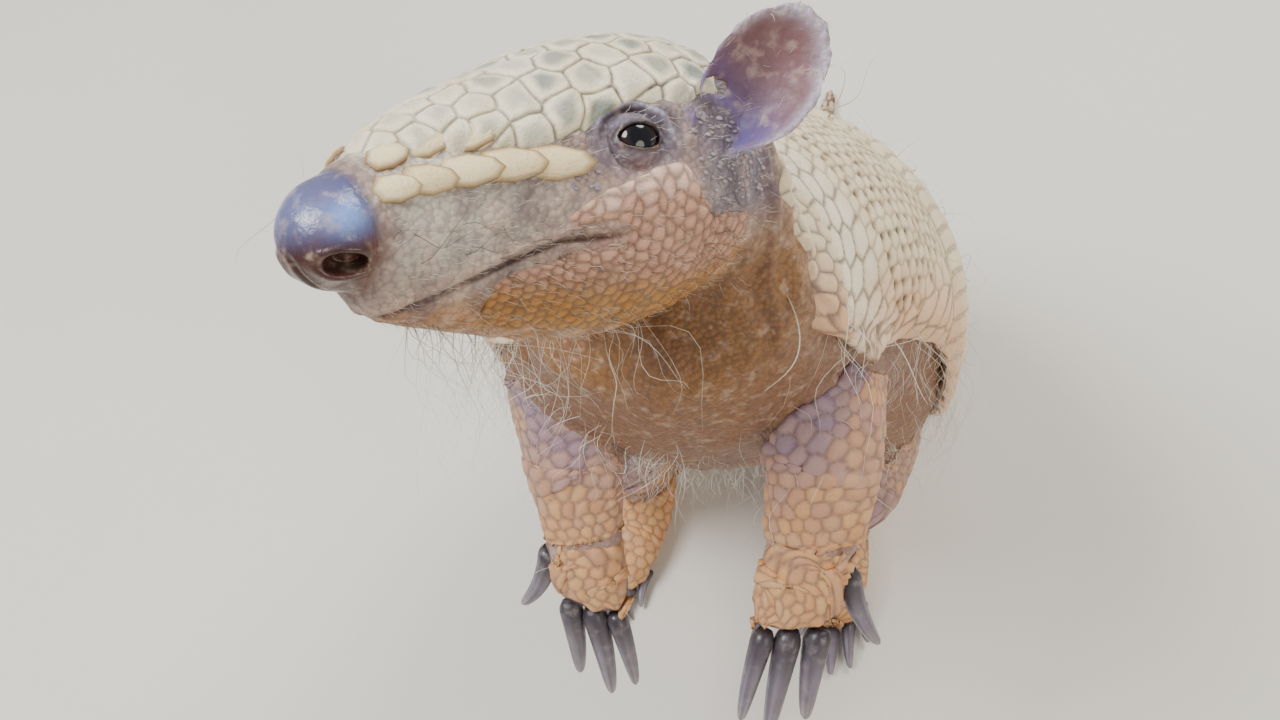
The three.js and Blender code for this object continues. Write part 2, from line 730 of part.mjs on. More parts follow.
function addHindLeg(suffix, side, trunkCutters) {
  const { hip, knee, ankle, heel, toeOut } = HIND_LEG;
  const path = [inFloorFrame(hip), knee, ankle];
  const legs = mirrored(legRings(path, hindLegHalfWidth, hindLegHalfDepth), side);
  const cutters = trunkCutters.map(([cutter]) => [cutter, trunkGroup.matrix]);
  const leg = carved(solidFromRings(legs), SAME_FRAME, cutters);
  add(animal, `hindleg_${suffix}`, leg, skinFinish);

  const frame = new THREE.Matrix4()
    .makeRotationZ(side * degToRad(toeOut))
    .setPosition(side * heel.x, heel.y, heel.z);
  const rings = footRings({
    length: FOOT.length,
    halfWidth: footHalfWidth,
    halfDepth: footHalfDepth,
    slant: FOOT.slant,
    lowest: -heel.z,
  });
  const legCutter = solidFromRings(grown(legs, GAP));
  const footSolid = carved(solidFromRings(rings), frame, [[legCutter, SAME_FRAME]]);
  add(animal, `hindfoot_${suffix}`, footSolid, skinFinish, frame);
  const cutter = solidFromRings(grown(rings, GAP));
  const foot = { ...FOOT, side, frame, cutter, clawTurn: 0 };
  addClaws(animal, `hindclaw_${suffix}`, HIND_CLAWS, foot);
}

function addLegs() {
  const trunkCutter = trunkSolid(GAP);
  for (const [suffix, side] of SIDES) {
    const shoulderCutters = [trunkCutter, shellPlate(SCAPULAR_SHIELD, GAP)];
    const hipCutters = [trunkCutter, shellPlate(PELVIC_SHIELD, GAP)];
    addForeleg(suffix, side, shoulderCutters.map((cutter) => [cutter, SAME_FRAME]));
    addHindLeg(suffix, side, hipCutters.map((cutter) => [cutter, SAME_FRAME]));
  }
}

// ---------------------------------------------------------------------------------------------
// Tail
// ---------------------------------------------------------------------------------------------

/** The tail leaves the rump down the spine line's slope and bends to lie level on the floor. */
function tailRings(from, to) {
  const root = inFloorFrame(point(0, RUMP_END + GAP, TAIL.rootLift));
  const heading = degToRad(TRUNK.pitch);
  const restHeight = (s) => tailRadius(s) - TAIL.settle;
  const bendRadius = (root.z - restHeight(TAIL.length / 2)) / (1 - Math.cos(heading));
  const bendLength = bendRadius * heading;
  return steps(from, to, TAIL.steps).map((s) => {
    const slope = heading - Math.min(s / bendRadius, heading);
    const straight = Math.max(s - bendLength, 0);
    const y = root.y + bendRadius * (Math.sin(heading) - Math.sin(slope)) + straight;
    const inBend = root.z - bendRadius * (Math.cos(slope) - Math.cos(heading));
    const z = straight > 0 ? restHeight(s) : Math.max(inBend, restHeight(s));
    return ringAngles(TAIL.sides).map((a) => {
      const across = tailRadius(s) * Math.cos(a);
      const up = tailRadius(s) * Math.sin(a);
      return point(across, y + up * Math.sin(slope), Math.max(z + up * Math.cos(slope), 0));
    });
  });
}

function addTail() {
  for (const k of indices(TAIL.cuts.length - 1)) {
    const from = TAIL.cuts[k] + (k > 0 ? GAP : 0);
    const lengths = solidFromRings(tailRings(from, TAIL.cuts[k + 1]));
    add(animal, `tail_${k + 1}`, lengths, shellFinish);
  }
}

// ---------------------------------------------------------------------------------------------
// The animal
// ---------------------------------------------------------------------------------------------

function build() {
  add(trunkGroup, "trunk", trunkSolid(), skinFinish);
  addShell();
  addHead();
  addNeck();
  addLegs();
  addTail();

  animal.updateMatrixWorld(true);
  const middle = new THREE.Box3().setFromObject(animal, true).getCenter(point(0, 0, 0));
  animal.position.set(-middle.x, -middle.y, 0);
}

build();

export default animal;
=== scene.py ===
"""Looks of a six-banded armadillo that sits up on its hind legs.

The animal faces -Y, its left side is +X and the floor is z = 0. Blender works in metres, and sizes
below are in millimetres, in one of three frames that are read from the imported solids: the trunk's
(x left, y back along the spine, z towards the back), the head's (x left, y back, z up), and each
limb's own, along its middle line.
"""

import logging
import math
from contextlib import contextmanager
from dataclasses import dataclass, field
from enum import Enum
from typing import Callable, Iterator, Optional, Sequence

import bmesh
import bpy
import numpy as np
from mathutils import Matrix, Vector
from mathutils.bvhtree import BVHTree
from mathutils.kdtree import KDTree


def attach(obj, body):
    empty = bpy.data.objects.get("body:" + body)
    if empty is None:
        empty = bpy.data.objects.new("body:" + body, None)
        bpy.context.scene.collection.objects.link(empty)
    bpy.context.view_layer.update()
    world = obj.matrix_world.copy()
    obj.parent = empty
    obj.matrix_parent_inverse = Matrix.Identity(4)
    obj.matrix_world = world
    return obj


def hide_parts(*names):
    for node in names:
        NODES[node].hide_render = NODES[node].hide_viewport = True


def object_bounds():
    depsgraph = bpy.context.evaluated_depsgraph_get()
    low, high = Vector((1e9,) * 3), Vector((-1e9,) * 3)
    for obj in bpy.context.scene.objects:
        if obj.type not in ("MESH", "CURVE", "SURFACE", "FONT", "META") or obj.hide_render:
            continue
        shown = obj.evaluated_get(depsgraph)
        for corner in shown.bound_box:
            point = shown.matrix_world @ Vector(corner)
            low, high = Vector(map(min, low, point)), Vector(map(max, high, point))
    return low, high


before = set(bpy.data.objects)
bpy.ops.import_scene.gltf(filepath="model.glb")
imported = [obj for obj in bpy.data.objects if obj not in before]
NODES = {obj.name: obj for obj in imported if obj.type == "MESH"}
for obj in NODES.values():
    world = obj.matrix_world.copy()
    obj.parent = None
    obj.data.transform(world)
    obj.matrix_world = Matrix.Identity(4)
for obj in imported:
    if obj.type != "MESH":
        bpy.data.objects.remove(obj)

Array = np.ndarray
Piece = bpy.types.Object

MM = 0.001
BODY = "root"
CLAWS = [name for name in NODES if "claw" in name]
SIDES = (("left", 1.0), ("right", -1.0))
FAR = 0.3  # metres from a place inside the animal to one outside it
FLOOR_GAP = 0.2 * MM
LOG = logging.getLogger("armadillo")
CAD_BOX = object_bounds()


class Slot(Enum):
    """The record's material slots."""

    SHELL = "shell_scutes"
    HEAD_SHIELD = "head_scutes"
    HIDE = "body_skin"
    TAIL = "tail_scutes"
    CLAW = "claw"
    EYE = "eye"


# ---- Numbers ----


def linear(code: str) -> Array:
    """Turns a colour written as six hexadecimal digits into linear red, green and blue.

    Args:
        code: The colour, such as "c9af9c".

    Returns:
        Three numbers from 0 to 1.
    """
    parts = np.array([int(code[i : i + 2], 16) for i in (0, 2, 4)]) / 255
    return np.where(parts <= 0.04045, parts / 12.92, ((parts + 0.055) / 1.055) ** 2.4)


def ramp(values: Array, low: float, high: float) -> Array:
    """Rises smoothly from 0 at low to 1 at high, or falls where low is above high.

    Args:
        values: Where to read the ramp.
        low: The value that gives 0.
        high: The value that gives 1.

    Returns:
        Numbers from 0 to 1.
    """
    share = np.clip((values - low) / (high - low), 0, 1)
    return share * share * (3 - 2 * share)


def bell(values: Array, middle: float, width: float) -> Array:
    """A smooth hump of height 1 round a middle value."""
    return np.exp(-(((values - middle) / width) ** 2))


def unit(vectors: Array) -> Array:
    """Vectors of length 1 along each row."""
    return vectors / np.maximum(np.linalg.norm(vectors, axis=-1, keepdims=True), 1e-12)


def stacked(*parts: "Array | float") -> Array:
    """A table with these columns, where a bare number stands for a column of it."""
    return np.stack(np.broadcast_arrays(*parts), axis=-1)


def blend(first: Array, second: Array, share: "Array | float") -> Array:
    """Goes from the first to the second by a share from 0 to 1."""
    return first * (1 - share) + second * share


def sideways(turn: Array) -> Array:
    """Directions square to a frame's back axis, at these angles from up towards left."""
    return stacked(np.sin(turn), 0, np.cos(turn))


def above_floor(points: Array, gap: float = FLOOR_GAP) -> None:
    """Moves points that lie under a small height over the floor up to it, in place."""
    points[..., 2] = np.maximum(points[..., 2], gap)


def named(*starts: str) -> list[str]:
    """Names of the solids that begin in one of these ways."""
    return [name for name in NODES if name.startswith(starts)]


def ripple(points: Array, wavelength: float, seed: int, waves: int = 9) -> Array:
    """Smooth irregular relief with no direction of its own.

    Args:
        points: Places, one in each row.
        wavelength: The distance between two swellings, in the points' units.
        seed: Picks one of many such reliefs.
        waves: How many plane waves are summed.

    Returns:
        Values mostly between -1 and 1.
    """
    draw = np.random.default_rng(seed)
    total = np.zeros(len(points))
    for direction in unit(draw.normal(size=(waves, 3))):
        length = wavelength * draw.uniform(0.7, 1.5)
        total += np.sin(points @ direction * (2 * np.pi / length) + draw.uniform(0, 2 * np.pi))
    return total / math.sqrt(waves)


def softened(values: Array, sigma: float, axis: int) -> Array:
    """Values blurred along one axis of a table, whose ends are held.

    Args:
        values: The table.
        sigma: The blur's width in cells.
        axis: The axis to blur along.

    Returns:
        A table of the same shape.
    """
    reach = max(int(3 * sigma), 1)
    kernel = np.exp(-0.5 * (np.arange(-reach, reach + 1) / sigma) ** 2)
    kernel /= kernel.sum()

    def one(line: Array) -> Array:
        """Blurs one line of the table."""
        return np.convolve(np.pad(line, reach, mode="edge"), kernel, mode="valid")

    return np.apply_along_axis(one, axis, values)


def filled(table: Array) -> Array:
    """A table whose gaps are bridged along its columns and then along its rows."""

    def bridged(line: Array) -> Array:
        """Bridges the gaps of one line, if it has any readings."""
        known = ~np.isnan(line)
        if known.sum() < 2:
            return line
        return np.interp(np.arange(len(line)), np.nonzero(known)[0], line[known])

    return np.apply_along_axis(bridged, 1, np.apply_along_axis(bridged, 0, table))


# ---- Meshes ----


def point_values(piece: Piece, name: str) -> Array:
    """Three numbers that Blender keeps at each of a piece's points.

    Args:
        piece: The piece.
        name: Blender's name for them, such as "co".

    Returns:
        One row for each point.
    """
    flat = np.empty(len(piece.data.vertices) * 3)
    piece.data.vertices.foreach_get(name, flat)
    return flat.reshape(-1, 3)


def points_of(piece: Piece) -> Array:
    """The places of a piece's points, in metres."""
    return point_values(piece, "co")


def normals_of(piece: Piece) -> Array:
    """The outward directions at a piece's points."""
    return point_values(piece, "normal")


def solid_points(name: str) -> Array:
    """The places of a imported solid's points, in metres."""
    return points_of(NODES[name])


def nearest_end(points: Array, place: Array, count: int = 6) -> Array:
    """The middle of the points that lie nearest to a place."""
    far = np.linalg.norm(points - place, axis=1)
    return points[np.argsort(far)[:count]].mean(axis=0)


def put_points(piece: Piece, points: Array) -> None:
    """Moves a piece's points."""
    piece.data.vertices.foreach_set("co", np.ascontiguousarray(points).ravel())
    piece.data.update()


def put_channel(piece: Piece, name: str, values: Array) -> None:
    """Keeps one number for each point, for the finish to read."""
    layer = piece.data.attributes.get(name) or piece.data.attributes.new(name, "FLOAT", "POINT")
    layer.data.foreach_set("value", np.ascontiguousarray(values, np.float32))


def put_tint(piece: Piece, colours: Array) -> None:
    """Keeps one colour for each point, for the finish to read.

    Args:
        piece: The piece.
        colours: Linear colours, one in each row.
    """
    attributes = piece.data.attributes
    layer = attributes.get("tint") or attributes.new("tint", "FLOAT_COLOR", "POINT")
    rgba = np.concatenate([colours, np.ones((len(colours), 1))], axis=1)
    layer.data.foreach_set("color", rgba.astype(np.float32).ravel())


def mesh_from(name: str, points: Array, faces: Array) -> Piece:
    """Makes a piece from points and faces that all have as many corners.

    Args:
        name: The piece's name.
        points: Places in metres.
        faces: The points' numbers, one face in each row.

    Returns:
        The new piece, in the scene.
    """
    mesh = bpy.data.meshes.new(name)
    mesh.vertices.add(len(points))
    mesh.vertices.foreach_set("co", np.ascontiguousarray(points, np.float32).ravel())
    mesh.loops.add(faces.size)
    mesh.loops.foreach_set("vertex_index", np.ascontiguousarray(faces, np.int32).ravel())
    mesh.polygons.add(len(faces))
    starts = np.arange(len(faces), dtype=np.int32) * faces.shape[1]
    mesh.polygons.foreach_set("loop_start", starts)
    mesh.update(calc_edges=True)
    piece = bpy.data.objects.new(name, mesh)
    bpy.context.scene.collection.objects.link(piece)
    return piece


def deselect() -> None:
    """Leaves nothing selected."""
    bpy.ops.object.select_all(action="DESELECT")


def take(piece: Piece) -> None:
    """Selects one piece alone and makes it the active one.

    Args:
        piece: The piece.
    """
    deselect()
    piece.select_set(True)
    bpy.context.view_layer.objects.active = piece


def newest(name: str) -> Piece:
    """Names the piece that an operator has just added.

    Args:
        name: Its name.

    Returns:
        The piece.
    """
    piece = bpy.context.view_layer.objects.active
    piece.name = name
    piece.data.name = name
    return piece


@contextmanager
def editing(piece: Piece) -> Iterator[None]:
    """Edit mode on one piece, for as long as the block runs.

    Args:
        piece: The piece.
    """
    take(piece)
    bpy.ops.object.mode_set(mode="EDIT")
    yield
    bpy.ops.object.mode_set(mode="OBJECT")


def edit(piece: Piece, step: Callable[[], object]) -> None:
    """Runs an operator in edit mode on all of a piece's faces."""
    with editing(piece):
        bpy.ops.mesh.select_all(action="SELECT")
        step()


def modify(piece: Piece, kind: str, **settings: object) -> None:
    """Adds a modifier with these settings and applies it.

    Args:
        piece: The piece.
        kind: The modifier's type.
        settings: Its settings.
    """
    take(piece)
    modifier = piece.modifiers.new(kind.lower(), kind)
    for name, value in settings.items():
        setattr(modifier, name, value)
    bpy.ops.object.modifier_apply(modifier=modifier.name)


def copied(name: str) -> Piece:
    """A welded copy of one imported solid, free of its body.

    Args:
        name: The solid's name.

    Returns:
        The copy.
    """
    source = NODES[name]
    piece = source.copy()
    piece.data = source.data.copy()
    piece.parent = None
    bpy.context.scene.collection.objects.link(piece)
    edit(piece, lambda: bpy.ops.mesh.remove_doubles(threshold=1e-6))
    return piece


def joined(pieces: Sequence[Piece], name: str) -> Piece:
    """Joins pieces into one.

    Args:
        pieces: The pieces.
        name: The name of what they become.

    Returns:
        The joined piece.
    """
    deselect()
    for piece in pieces:
        piece.select_set(True)
    bpy.context.view_layer.objects.active = pieces[0]
    bpy.ops.object.join()
    return newest(name)


def select_points(piece: Piece, chosen: Array) -> None:
    """Selects the faces that touch the chosen points, in object mode.

    Args:
        piece: The piece.
        chosen: Whether each of its points is chosen.
    """
    count = len(piece.data.polygons)
    starts = np.empty(count, np.int32)
    piece.data.polygons.foreach_get("loop_start", starts)
    corners = np.empty(len(piece.data.loops), np.int32)
    piece.data.loops.foreach_get("vertex_index", corners)
    picked = np.add.reduceat(chosen[corners].astype(int), starts) > 0
    piece.data.polygons.foreach_set("select", picked)
    ends = np.append(starts[1:], len(corners))
    inside = np.zeros(len(chosen), bool)
    inside[corners[np.repeat(picked, ends - starts)]] = True
    piece.data.vertices.foreach_set("select", inside)


def neighbour_mean(piece: Piece, values: Array, rounds: int) -> Array:
    """Values at a piece's points, spread over their neighbours a number of times.

    Args:
        piece: The piece.
        values: One row for each point.
        rounds: How many times each point takes the mean of its neighbours.

    Returns:
        The spread values, in the same shape.
    """
    ends = np.empty(len(piece.data.edges) * 2, np.int32)
    piece.data.edges.foreach_get("vertices", ends)
    first, second = ends.reshape(-1, 2).T
    columns = values.reshape(len(values), -1).copy()
    degree = np.bincount(ends, minlength=len(values)).clip(1)
    for _ in range(rounds):
        for k in range(columns.shape[1]):
            line = columns[:, k]
            total = np.bincount(first, line[second], len(values))
            total += np.bincount(second, line[first], len(values))
            columns[:, k] = 0.5 * line + 0.5 * total / degree
    return columns.reshape(values.shape)


def present(
    piece: Piece, slot: Slot, finish: bpy.types.Material, nodes: Sequence[str], angle: Optional[float] = None
) -> Piece:
    """Shades a piece smoothly, gives it its finish and its body, and hides the solids that it stands for.

    Args:
        piece: The piece.
        slot: Its slot; not used.
        finish: Its material.
        nodes: The solids that it stands for.
        angle: The angle in degrees past which its edges stay sharp, if they do.

    Returns:
        The same piece.
    """
    take(piece)
    if angle is None:
        bpy.ops.object.shade_smooth()
    else:
        bpy.ops.object.shade_smooth_by_angle(angle=math.radians(angle))
    piece.data.materials.clear()
    piece.data.materials.append(finish)
    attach(piece, BODY)
    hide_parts(*nodes)
    LOG.info("%s: %d faces", piece.name, len(piece.data.polygons))
    return piece


# ---- Frames and surfaces read from the solids ----


@dataclass(frozen=True)
class Place:
    """A frame of its own: an origin in metres, and the directions of left, back and up."""

    origin: Array
    axes: Array

    def local(self, points: Array) -> Array:
        """Places in this frame, in millimetres."""
        return (points - self.origin) @ self.axes.T / MM

    def world(self, points: Array) -> Array:
        """Places in metres, from millimetres in this frame."""
        return self.origin + (np.asarray(points) * MM) @ self.axes

    def turned(self, vectors: Array) -> Array:
        """Directions in the world, from directions in this frame."""
        return np.asarray(vectors) @ self.axes


def axes_from(back: Array, left: Array) -> Array:
    """Three square directions from the way back and the way that is roughly left.

    Args:
        back: The way back.
        left: The way that is roughly left.

    Returns:
        Left, back and up, one in each row.
    """
    back = unit(back)
    left = unit(left - back * (left @ back))
    return np.stack([left, back, np.cross(left, back)])


def trunk_place() -> Place:
    """The trunk's frame: its origin is the middle of the trunk's front end."""
    slab = solid_points("band_4")
    back = np.linalg.svd(slab - slab.mean(axis=0), full_matrices=False)[2][-1]
    run = solid_points("pelvic_shield").mean(axis=0)
    run -= solid_points("scapular_shield").mean(axis=0)
    back *= np.sign(back @ run)
    flesh = solid_points("trunk")
    along = flesh @ back
    end = np.unique(flesh[along < along.min() + MM].round(5), axis=0)
    return Place(end.mean(axis=0), axes_from(back, np.array([1.0, 0.0, 0.0])))


EYE_AT = np.array([0.0, -27.0, 9.0])  # middle of the two eyes, in the head's frame
NOSE_DIP = 8.5  # degrees by which the nose lies under the eyes' level


def head_place() -> Place:
    """The head's frame, from the two eyes and the nose."""
    eyes = [solid_points(f"eye_{side}").mean(axis=0) for side, _ in SIDES]
    left = unit(eyes[0] - eyes[1])
    middle = (eyes[0] + eyes[1]) / 2
    to_nose = middle - solid_points("nose").mean(axis=0)
    axes = axes_from(to_nose, left)
    dip = math.radians(NOSE_DIP)
    back = math.cos(dip) * axes[1] - math.sin(dip) * axes[2]
    axes = axes_from(back, left)
    return Place(middle - (EYE_AT * MM) @ axes, axes)


class Solids:
    """Casts rays on some solids, and says which of them a place is nearest to."""

    def __init__(self, pieces: Sequence[Piece]) -> None:
        """Gathers the pieces' faces.

        Args:
            pieces: The solids.
        """
        points: list = []
        faces: list = []
        self.owner: list[int] = []
        for k, piece in enumerate(pieces):
            start = len(points)
            points += points_of(piece).tolist()
            for polygon in piece.data.polygons:
                faces.append([start + v for v in polygon.vertices])
                self.owner.append(k)
        self.tree = BVHTree.FromPolygons(points, faces)

    def inward(
        self, targets: Array, outward: Array, reach: "float | Array" = FAR, spare: float = 0.004
    ) -> Array:
        """Casts rays from outside towards targets inside.

        Args:
            targets: Where each ray aims, in metres.
            outward: The way from each target to where its ray starts.
            reach: How far off the ray starts.
            spare: How short of its target the ray stops.

        Returns:
            The first place that each ray meets, or not-a-number.
        """
        found = np.full((len(targets), 3), np.nan)
        reaches = np.broadcast_to(reach, len(targets))
        for k, (target, way, far) in enumerate(zip(targets, outward, reaches)):
            start = Vector(target + way * far)
            hit = self.tree.ray_cast(start, Vector(-way), far - spare)[0]
            if hit is not None:
                found[k] = hit
        return found

    def settle(self, points: Array) -> tuple[Array, Array, Array]:
        """The nearest places on the solids, their outward directions, and whose they are.

        Args:
            points: The places, in metres.

        Returns:
            Places in metres, directions, and the solids' numbers.
        """
        places = np.empty_like(points)
        normals = np.empty_like(points)
        owners = np.empty(len(points), int)
        for k, point in enumerate(points):
            place, normal, face, _ = self.tree.find_nearest(Vector(point))
            places[k], normals[k], owners[k] = place, normal, self.owner[face]
        return places, normals, owners


class Wrap:
    """The outer face of one or more curved plates, as smooth functions of two numbers.

    A station is a distance along a frame's back axis, in millimetres, and a share runs from 1 at
    the left margin to -1 at the right one, in equal steps along the curve.
    """

    PITCH = 1.5
    TURN = 1.5
    SHARES = 161

    def __init__(
        self, names: Sequence[str], place: Place, first: float, last: float, hub: float = 0.0,
        margin_last: float = 1e9, blur: float = 2.2,
    ) -> None:
        """Reads the plates' outer face.

        Args:
            names: The solids that hold it.
            place: The frame whose back axis the plates wrap round.
            first: The first station.
            last: The last station.
            hub: The height of the plates' middle line in the frame.
            margin_last: The last station where the side margins are true margins.
            blur: How far the readings are smoothed, in stations.
        """
        self.place = place
        self.hub = hub
        solids = Solids([NODES[name] for name in names])
        self.stations = np.arange(first, last + self.PITCH, self.PITCH)
        self.angles = np.radians(np.arange(-150, 150 + self.TURN, self.TURN))
        radius = np.empty((len(self.stations), len(self.angles)))
        ways = sideways(self.angles)
        for i, station in enumerate(self.stations):
            target = place.world(np.array([0, station, hub]))
            targets = np.repeat(target[None], len(ways), axis=0)
            hits = solids.inward(targets, place.turned(ways))
            radius[i] = np.linalg.norm(hits - target, axis=1) / MM
        count = (~np.isnan(radius)).sum(axis=1)
        near = np.array([count[max(i - 2, 0) : i + 3].max() for i in range(len(count))])
        radius[count < 0.93 * near] = np.nan
        known = ~np.isnan(radius)
        margins = np.full((len(self.stations), 2), np.nan)
        for i in range(len(self.stations)):
            if known[i].sum() > 8 and self.stations[i] <= margin_last:
                row = np.nonzero(known[i])[0]
                margins[i] = self.angles[row[0]], self.angles[row[-1]]
        margins = softened(filled(margins), blur, 0)
        radius = softened(softened(filled(radius), blur, 0), blur, 1)
        shares = np.linspace(-1, 1, self.SHARES)
        self.turns = np.empty((len(self.stations), self.SHARES))
        self.half = np.empty(len(self.stations))
        for i in range(len(self.stations)):
            fine = np.linspace(*margins[i], 4 * self.SHARES)
            far = np.interp(fine, self.angles, radius[i])
            x, z = far * np.sin(fine), far * np.cos(fine)
            run = np.concatenate([[0], np.cumsum(np.hypot(np.diff(x), np.diff(z)))])
            self.turns[i] = np.interp(shares, run / run[-1] * 2 - 1, fine)
            self.half[i] = run[-1] / 2
        far = np.stack([np.interp(t, self.angles, r) for t, r in zip(self.turns, radius)])
        self.grid = stacked(far * np.sin(self.turns), self.stations[:, None], far * np.cos(self.turns) + hub)
        along = np.gradient(self.grid, axis=0)
        across = np.gradient(self.grid, axis=1)
        self.lean = unit(np.cross(across, along))

    def _read(self, table: Array, stations: Array, shares: Array) -> Array:
        """A table's values between its readings.

        Args:
            table: The table.
            stations: Where to read it along.
            shares: Where to read it across.

        Returns:
            One row for each reading.
        """
        row = np.clip((stations - self.stations[0]) / self.PITCH, 0, len(self.stations) - 1.001)
        column = np.clip((shares + 1) / 2 * (self.SHARES - 1), 0, self.SHARES - 1.001)
        i, j = row.astype(int), column.astype(int)
        u, v = (row - i)[:, None], (column - j)[:, None]
        upper = blend(table[i, j], table[i, j + 1], v)
        lower = blend(table[i + 1, j], table[i + 1, j + 1], v)
        return blend(upper, lower, u)

    def at(self, stations: Array, shares: Array) -> tuple[Array, Array]:
        """Places on the face and their outward directions, in the frame, in millimetres."""
        places = self._read(self.grid, stations, shares)
        places[:, 1] = stations
        return places, unit(self._read(self.lean, stations, shares))

    def half_width(self, stations: Array) -> Array:
        """The length of the curve from the middle to a margin, in millimetres."""
        return np.interp(stations, self.stations, self.half)

    def edges(self, name: str) -> tuple[Callable[[Array], Array], Callable[[Array], Array]]:
        """The front and the rear edge of one of the solids, as functions of the share.

        Args:
            name: The solid's name.

        Returns:
            The two functions, front first.
        """
        corners = solid_points(name)
        ends = corners[np.array([list(edge.vertices) for edge in NODES[name].data.edges])]
        points = np.concatenate([blend(ends[:, 0], ends[:, 1], t) for t in np.linspace(0, 1, 9)])
        local = self.place.local(points)
        turn = np.arctan2(local[:, 0], local[:, 2] - self.hub)
        rows = ((local[:, 1] - self.stations[0]) / self.PITCH).round().astype(int)
        rows = np.clip(rows, 0, len(self.stations) - 1)
        scale = np.linspace(-1, 1, self.SHARES)
        shares = np.array([np.interp(t, self.turns[r], scale) for t, r in zip(turn, rows)])
        centres = np.linspace(-1, 1, 21)
        front, rear = [], []
        for centre in centres:
            near = local[np.abs(shares - centre) < 0.05, 1]
            front.append(near.min() if len(near) else np.nan)
            rear.append(near.max() if len(near) else np.nan)
        front, rear = filled(np.array([front]))[0], filled(np.array([rear]))[0]
        return (lambda s: np.interp(s, centres, front)), (lambda s: np.interp(s, centres, rear))


class MiddleLine:
    """The middle line of a limb, and frames along it."""

    def __init__(self, points: Array, slices: int, dorsal: Array, start: Array) -> None:
        """Finds the line.

        Args:
            points: Places on the limb's surface, in metres.
            slices: How many cuts across the limb are averaged.
            dorsal: The way that the limb's front or back faces.
            start: A place near the limb's root.
        """
        middle = points.mean(axis=0)
        axis = np.linalg.svd(points - middle, full_matrices=False)[2][0]
        axis *= -np.sign(axis @ (start - middle))
        along = points @ axis
        cuts = np.linspace(along.min(), along.max(), slices + 1)
        knots = [points[(along >= a) & (along <= b)].mean(axis=0) for a, b in zip(cuts[:-1], cuts[1:])]
        self.knots = np.array(knots)
        steps = np.linalg.norm(np.diff(self.knots, axis=0), axis=1)
        self.run = np.concatenate([[0], np.cumsum(steps)])
        self.length = self.run[-1]
        self.dorsal = unit(dorsal)

    def at(self, distance: "float | Array") -> tuple[Array, Array]:
        """The line's place at distances from its start, and the way it runs there."""
        steps = [distance + step for step in (0, 0.004, -0.004)]
        place, ahead, behind = (
            stacked(*(np.interp(step, self.run, column) for column in self.knots.T)) for step in steps
        )
        return place, unit(ahead - behind)

    def spoke(self, way: Array, turn: "float | Array") -> Array:
        """The direction across the line that lies at an angle from its dorsal side."""
        front = unit(self.dorsal - way * np.sum(way * self.dorsal, axis=-1, keepdims=True))
        return np.cos(turn)[..., None] * front + np.sin(turn)[..., None] * np.cross(way, front)


@dataclass(frozen=True)
class Grid:
    """A flat mesh of squares before it is laid on something, and where each point is on it.

    Along runs from 0 at the front to 1 at the rear, and share from -1 to 1 across.
    """

    piece: Piece
    along: Array
    share: Array
    shape: tuple[int, int]

    @classmethod
    def added(cls, name: str, length: float, width: float, pitch: float) -> "Grid":
        """Adds a grid that is to be this long and wide, with points this far apart.

        Args:
            name: The piece's name.
            length: Its length, in millimetres.
            width: Its width.
            pitch: The distance between points.

        Returns:
            The grid.
        """
        deselect()
        cuts = {"x_subdivisions": int(length / pitch), "y_subdivisions": int(width / pitch)}
        bpy.ops.mesh.primitive_grid_add(size=1, **cuts)
        piece = newest(name)
        flat = points_of(piece)
        row = int(np.sum(np.abs(flat[:, 1] - flat[0, 1]) < 1e-6))
        return cls(piece, flat[:, 0] + 0.5, flat[:, 1] * 2, (len(flat) // row, row))

    def smoothed(self, values: Array, sigma: float) -> Array:
        """One value a point, with its gaps filled and its jumps softened."""
        table = filled(values.reshape(self.shape))
        return softened(softened(table, sigma, 0), sigma, 1).ravel()

    def thicken(self, out: Array, thickness: float) -> None:
        """Turns the faces outwards, and gives the sheet a wall and a thinned hidden underside.

        Args:
            out: The outward direction at each point.
            thickness: The wall, in millimetres.
        """
        middle = len(self.piece.data.polygons) // 2
        if Vector(self.piece.data.polygons[middle].normal).dot(Vector(out[len(out) // 2])) < 0:
            edit(self.piece, lambda: bpy.ops.mesh.flip_normals())
        inner = self.piece.vertex_groups.new(name="under")
        modify(self.piece, "SOLIDIFY", thickness=thickness * MM, offset=-1.0)
        inner.add(list(range(len(out), len(self.piece.data.vertices))), 1.0, "REPLACE")
        modify(self.piece, "DECIMATE", ratio=0.56, vertex_group="under", use_collapse_triangulate=True)
        self.piece.vertex_groups.clear()


TRUNK = trunk_place()
HEAD = head_place()


# ---- Finishes ----


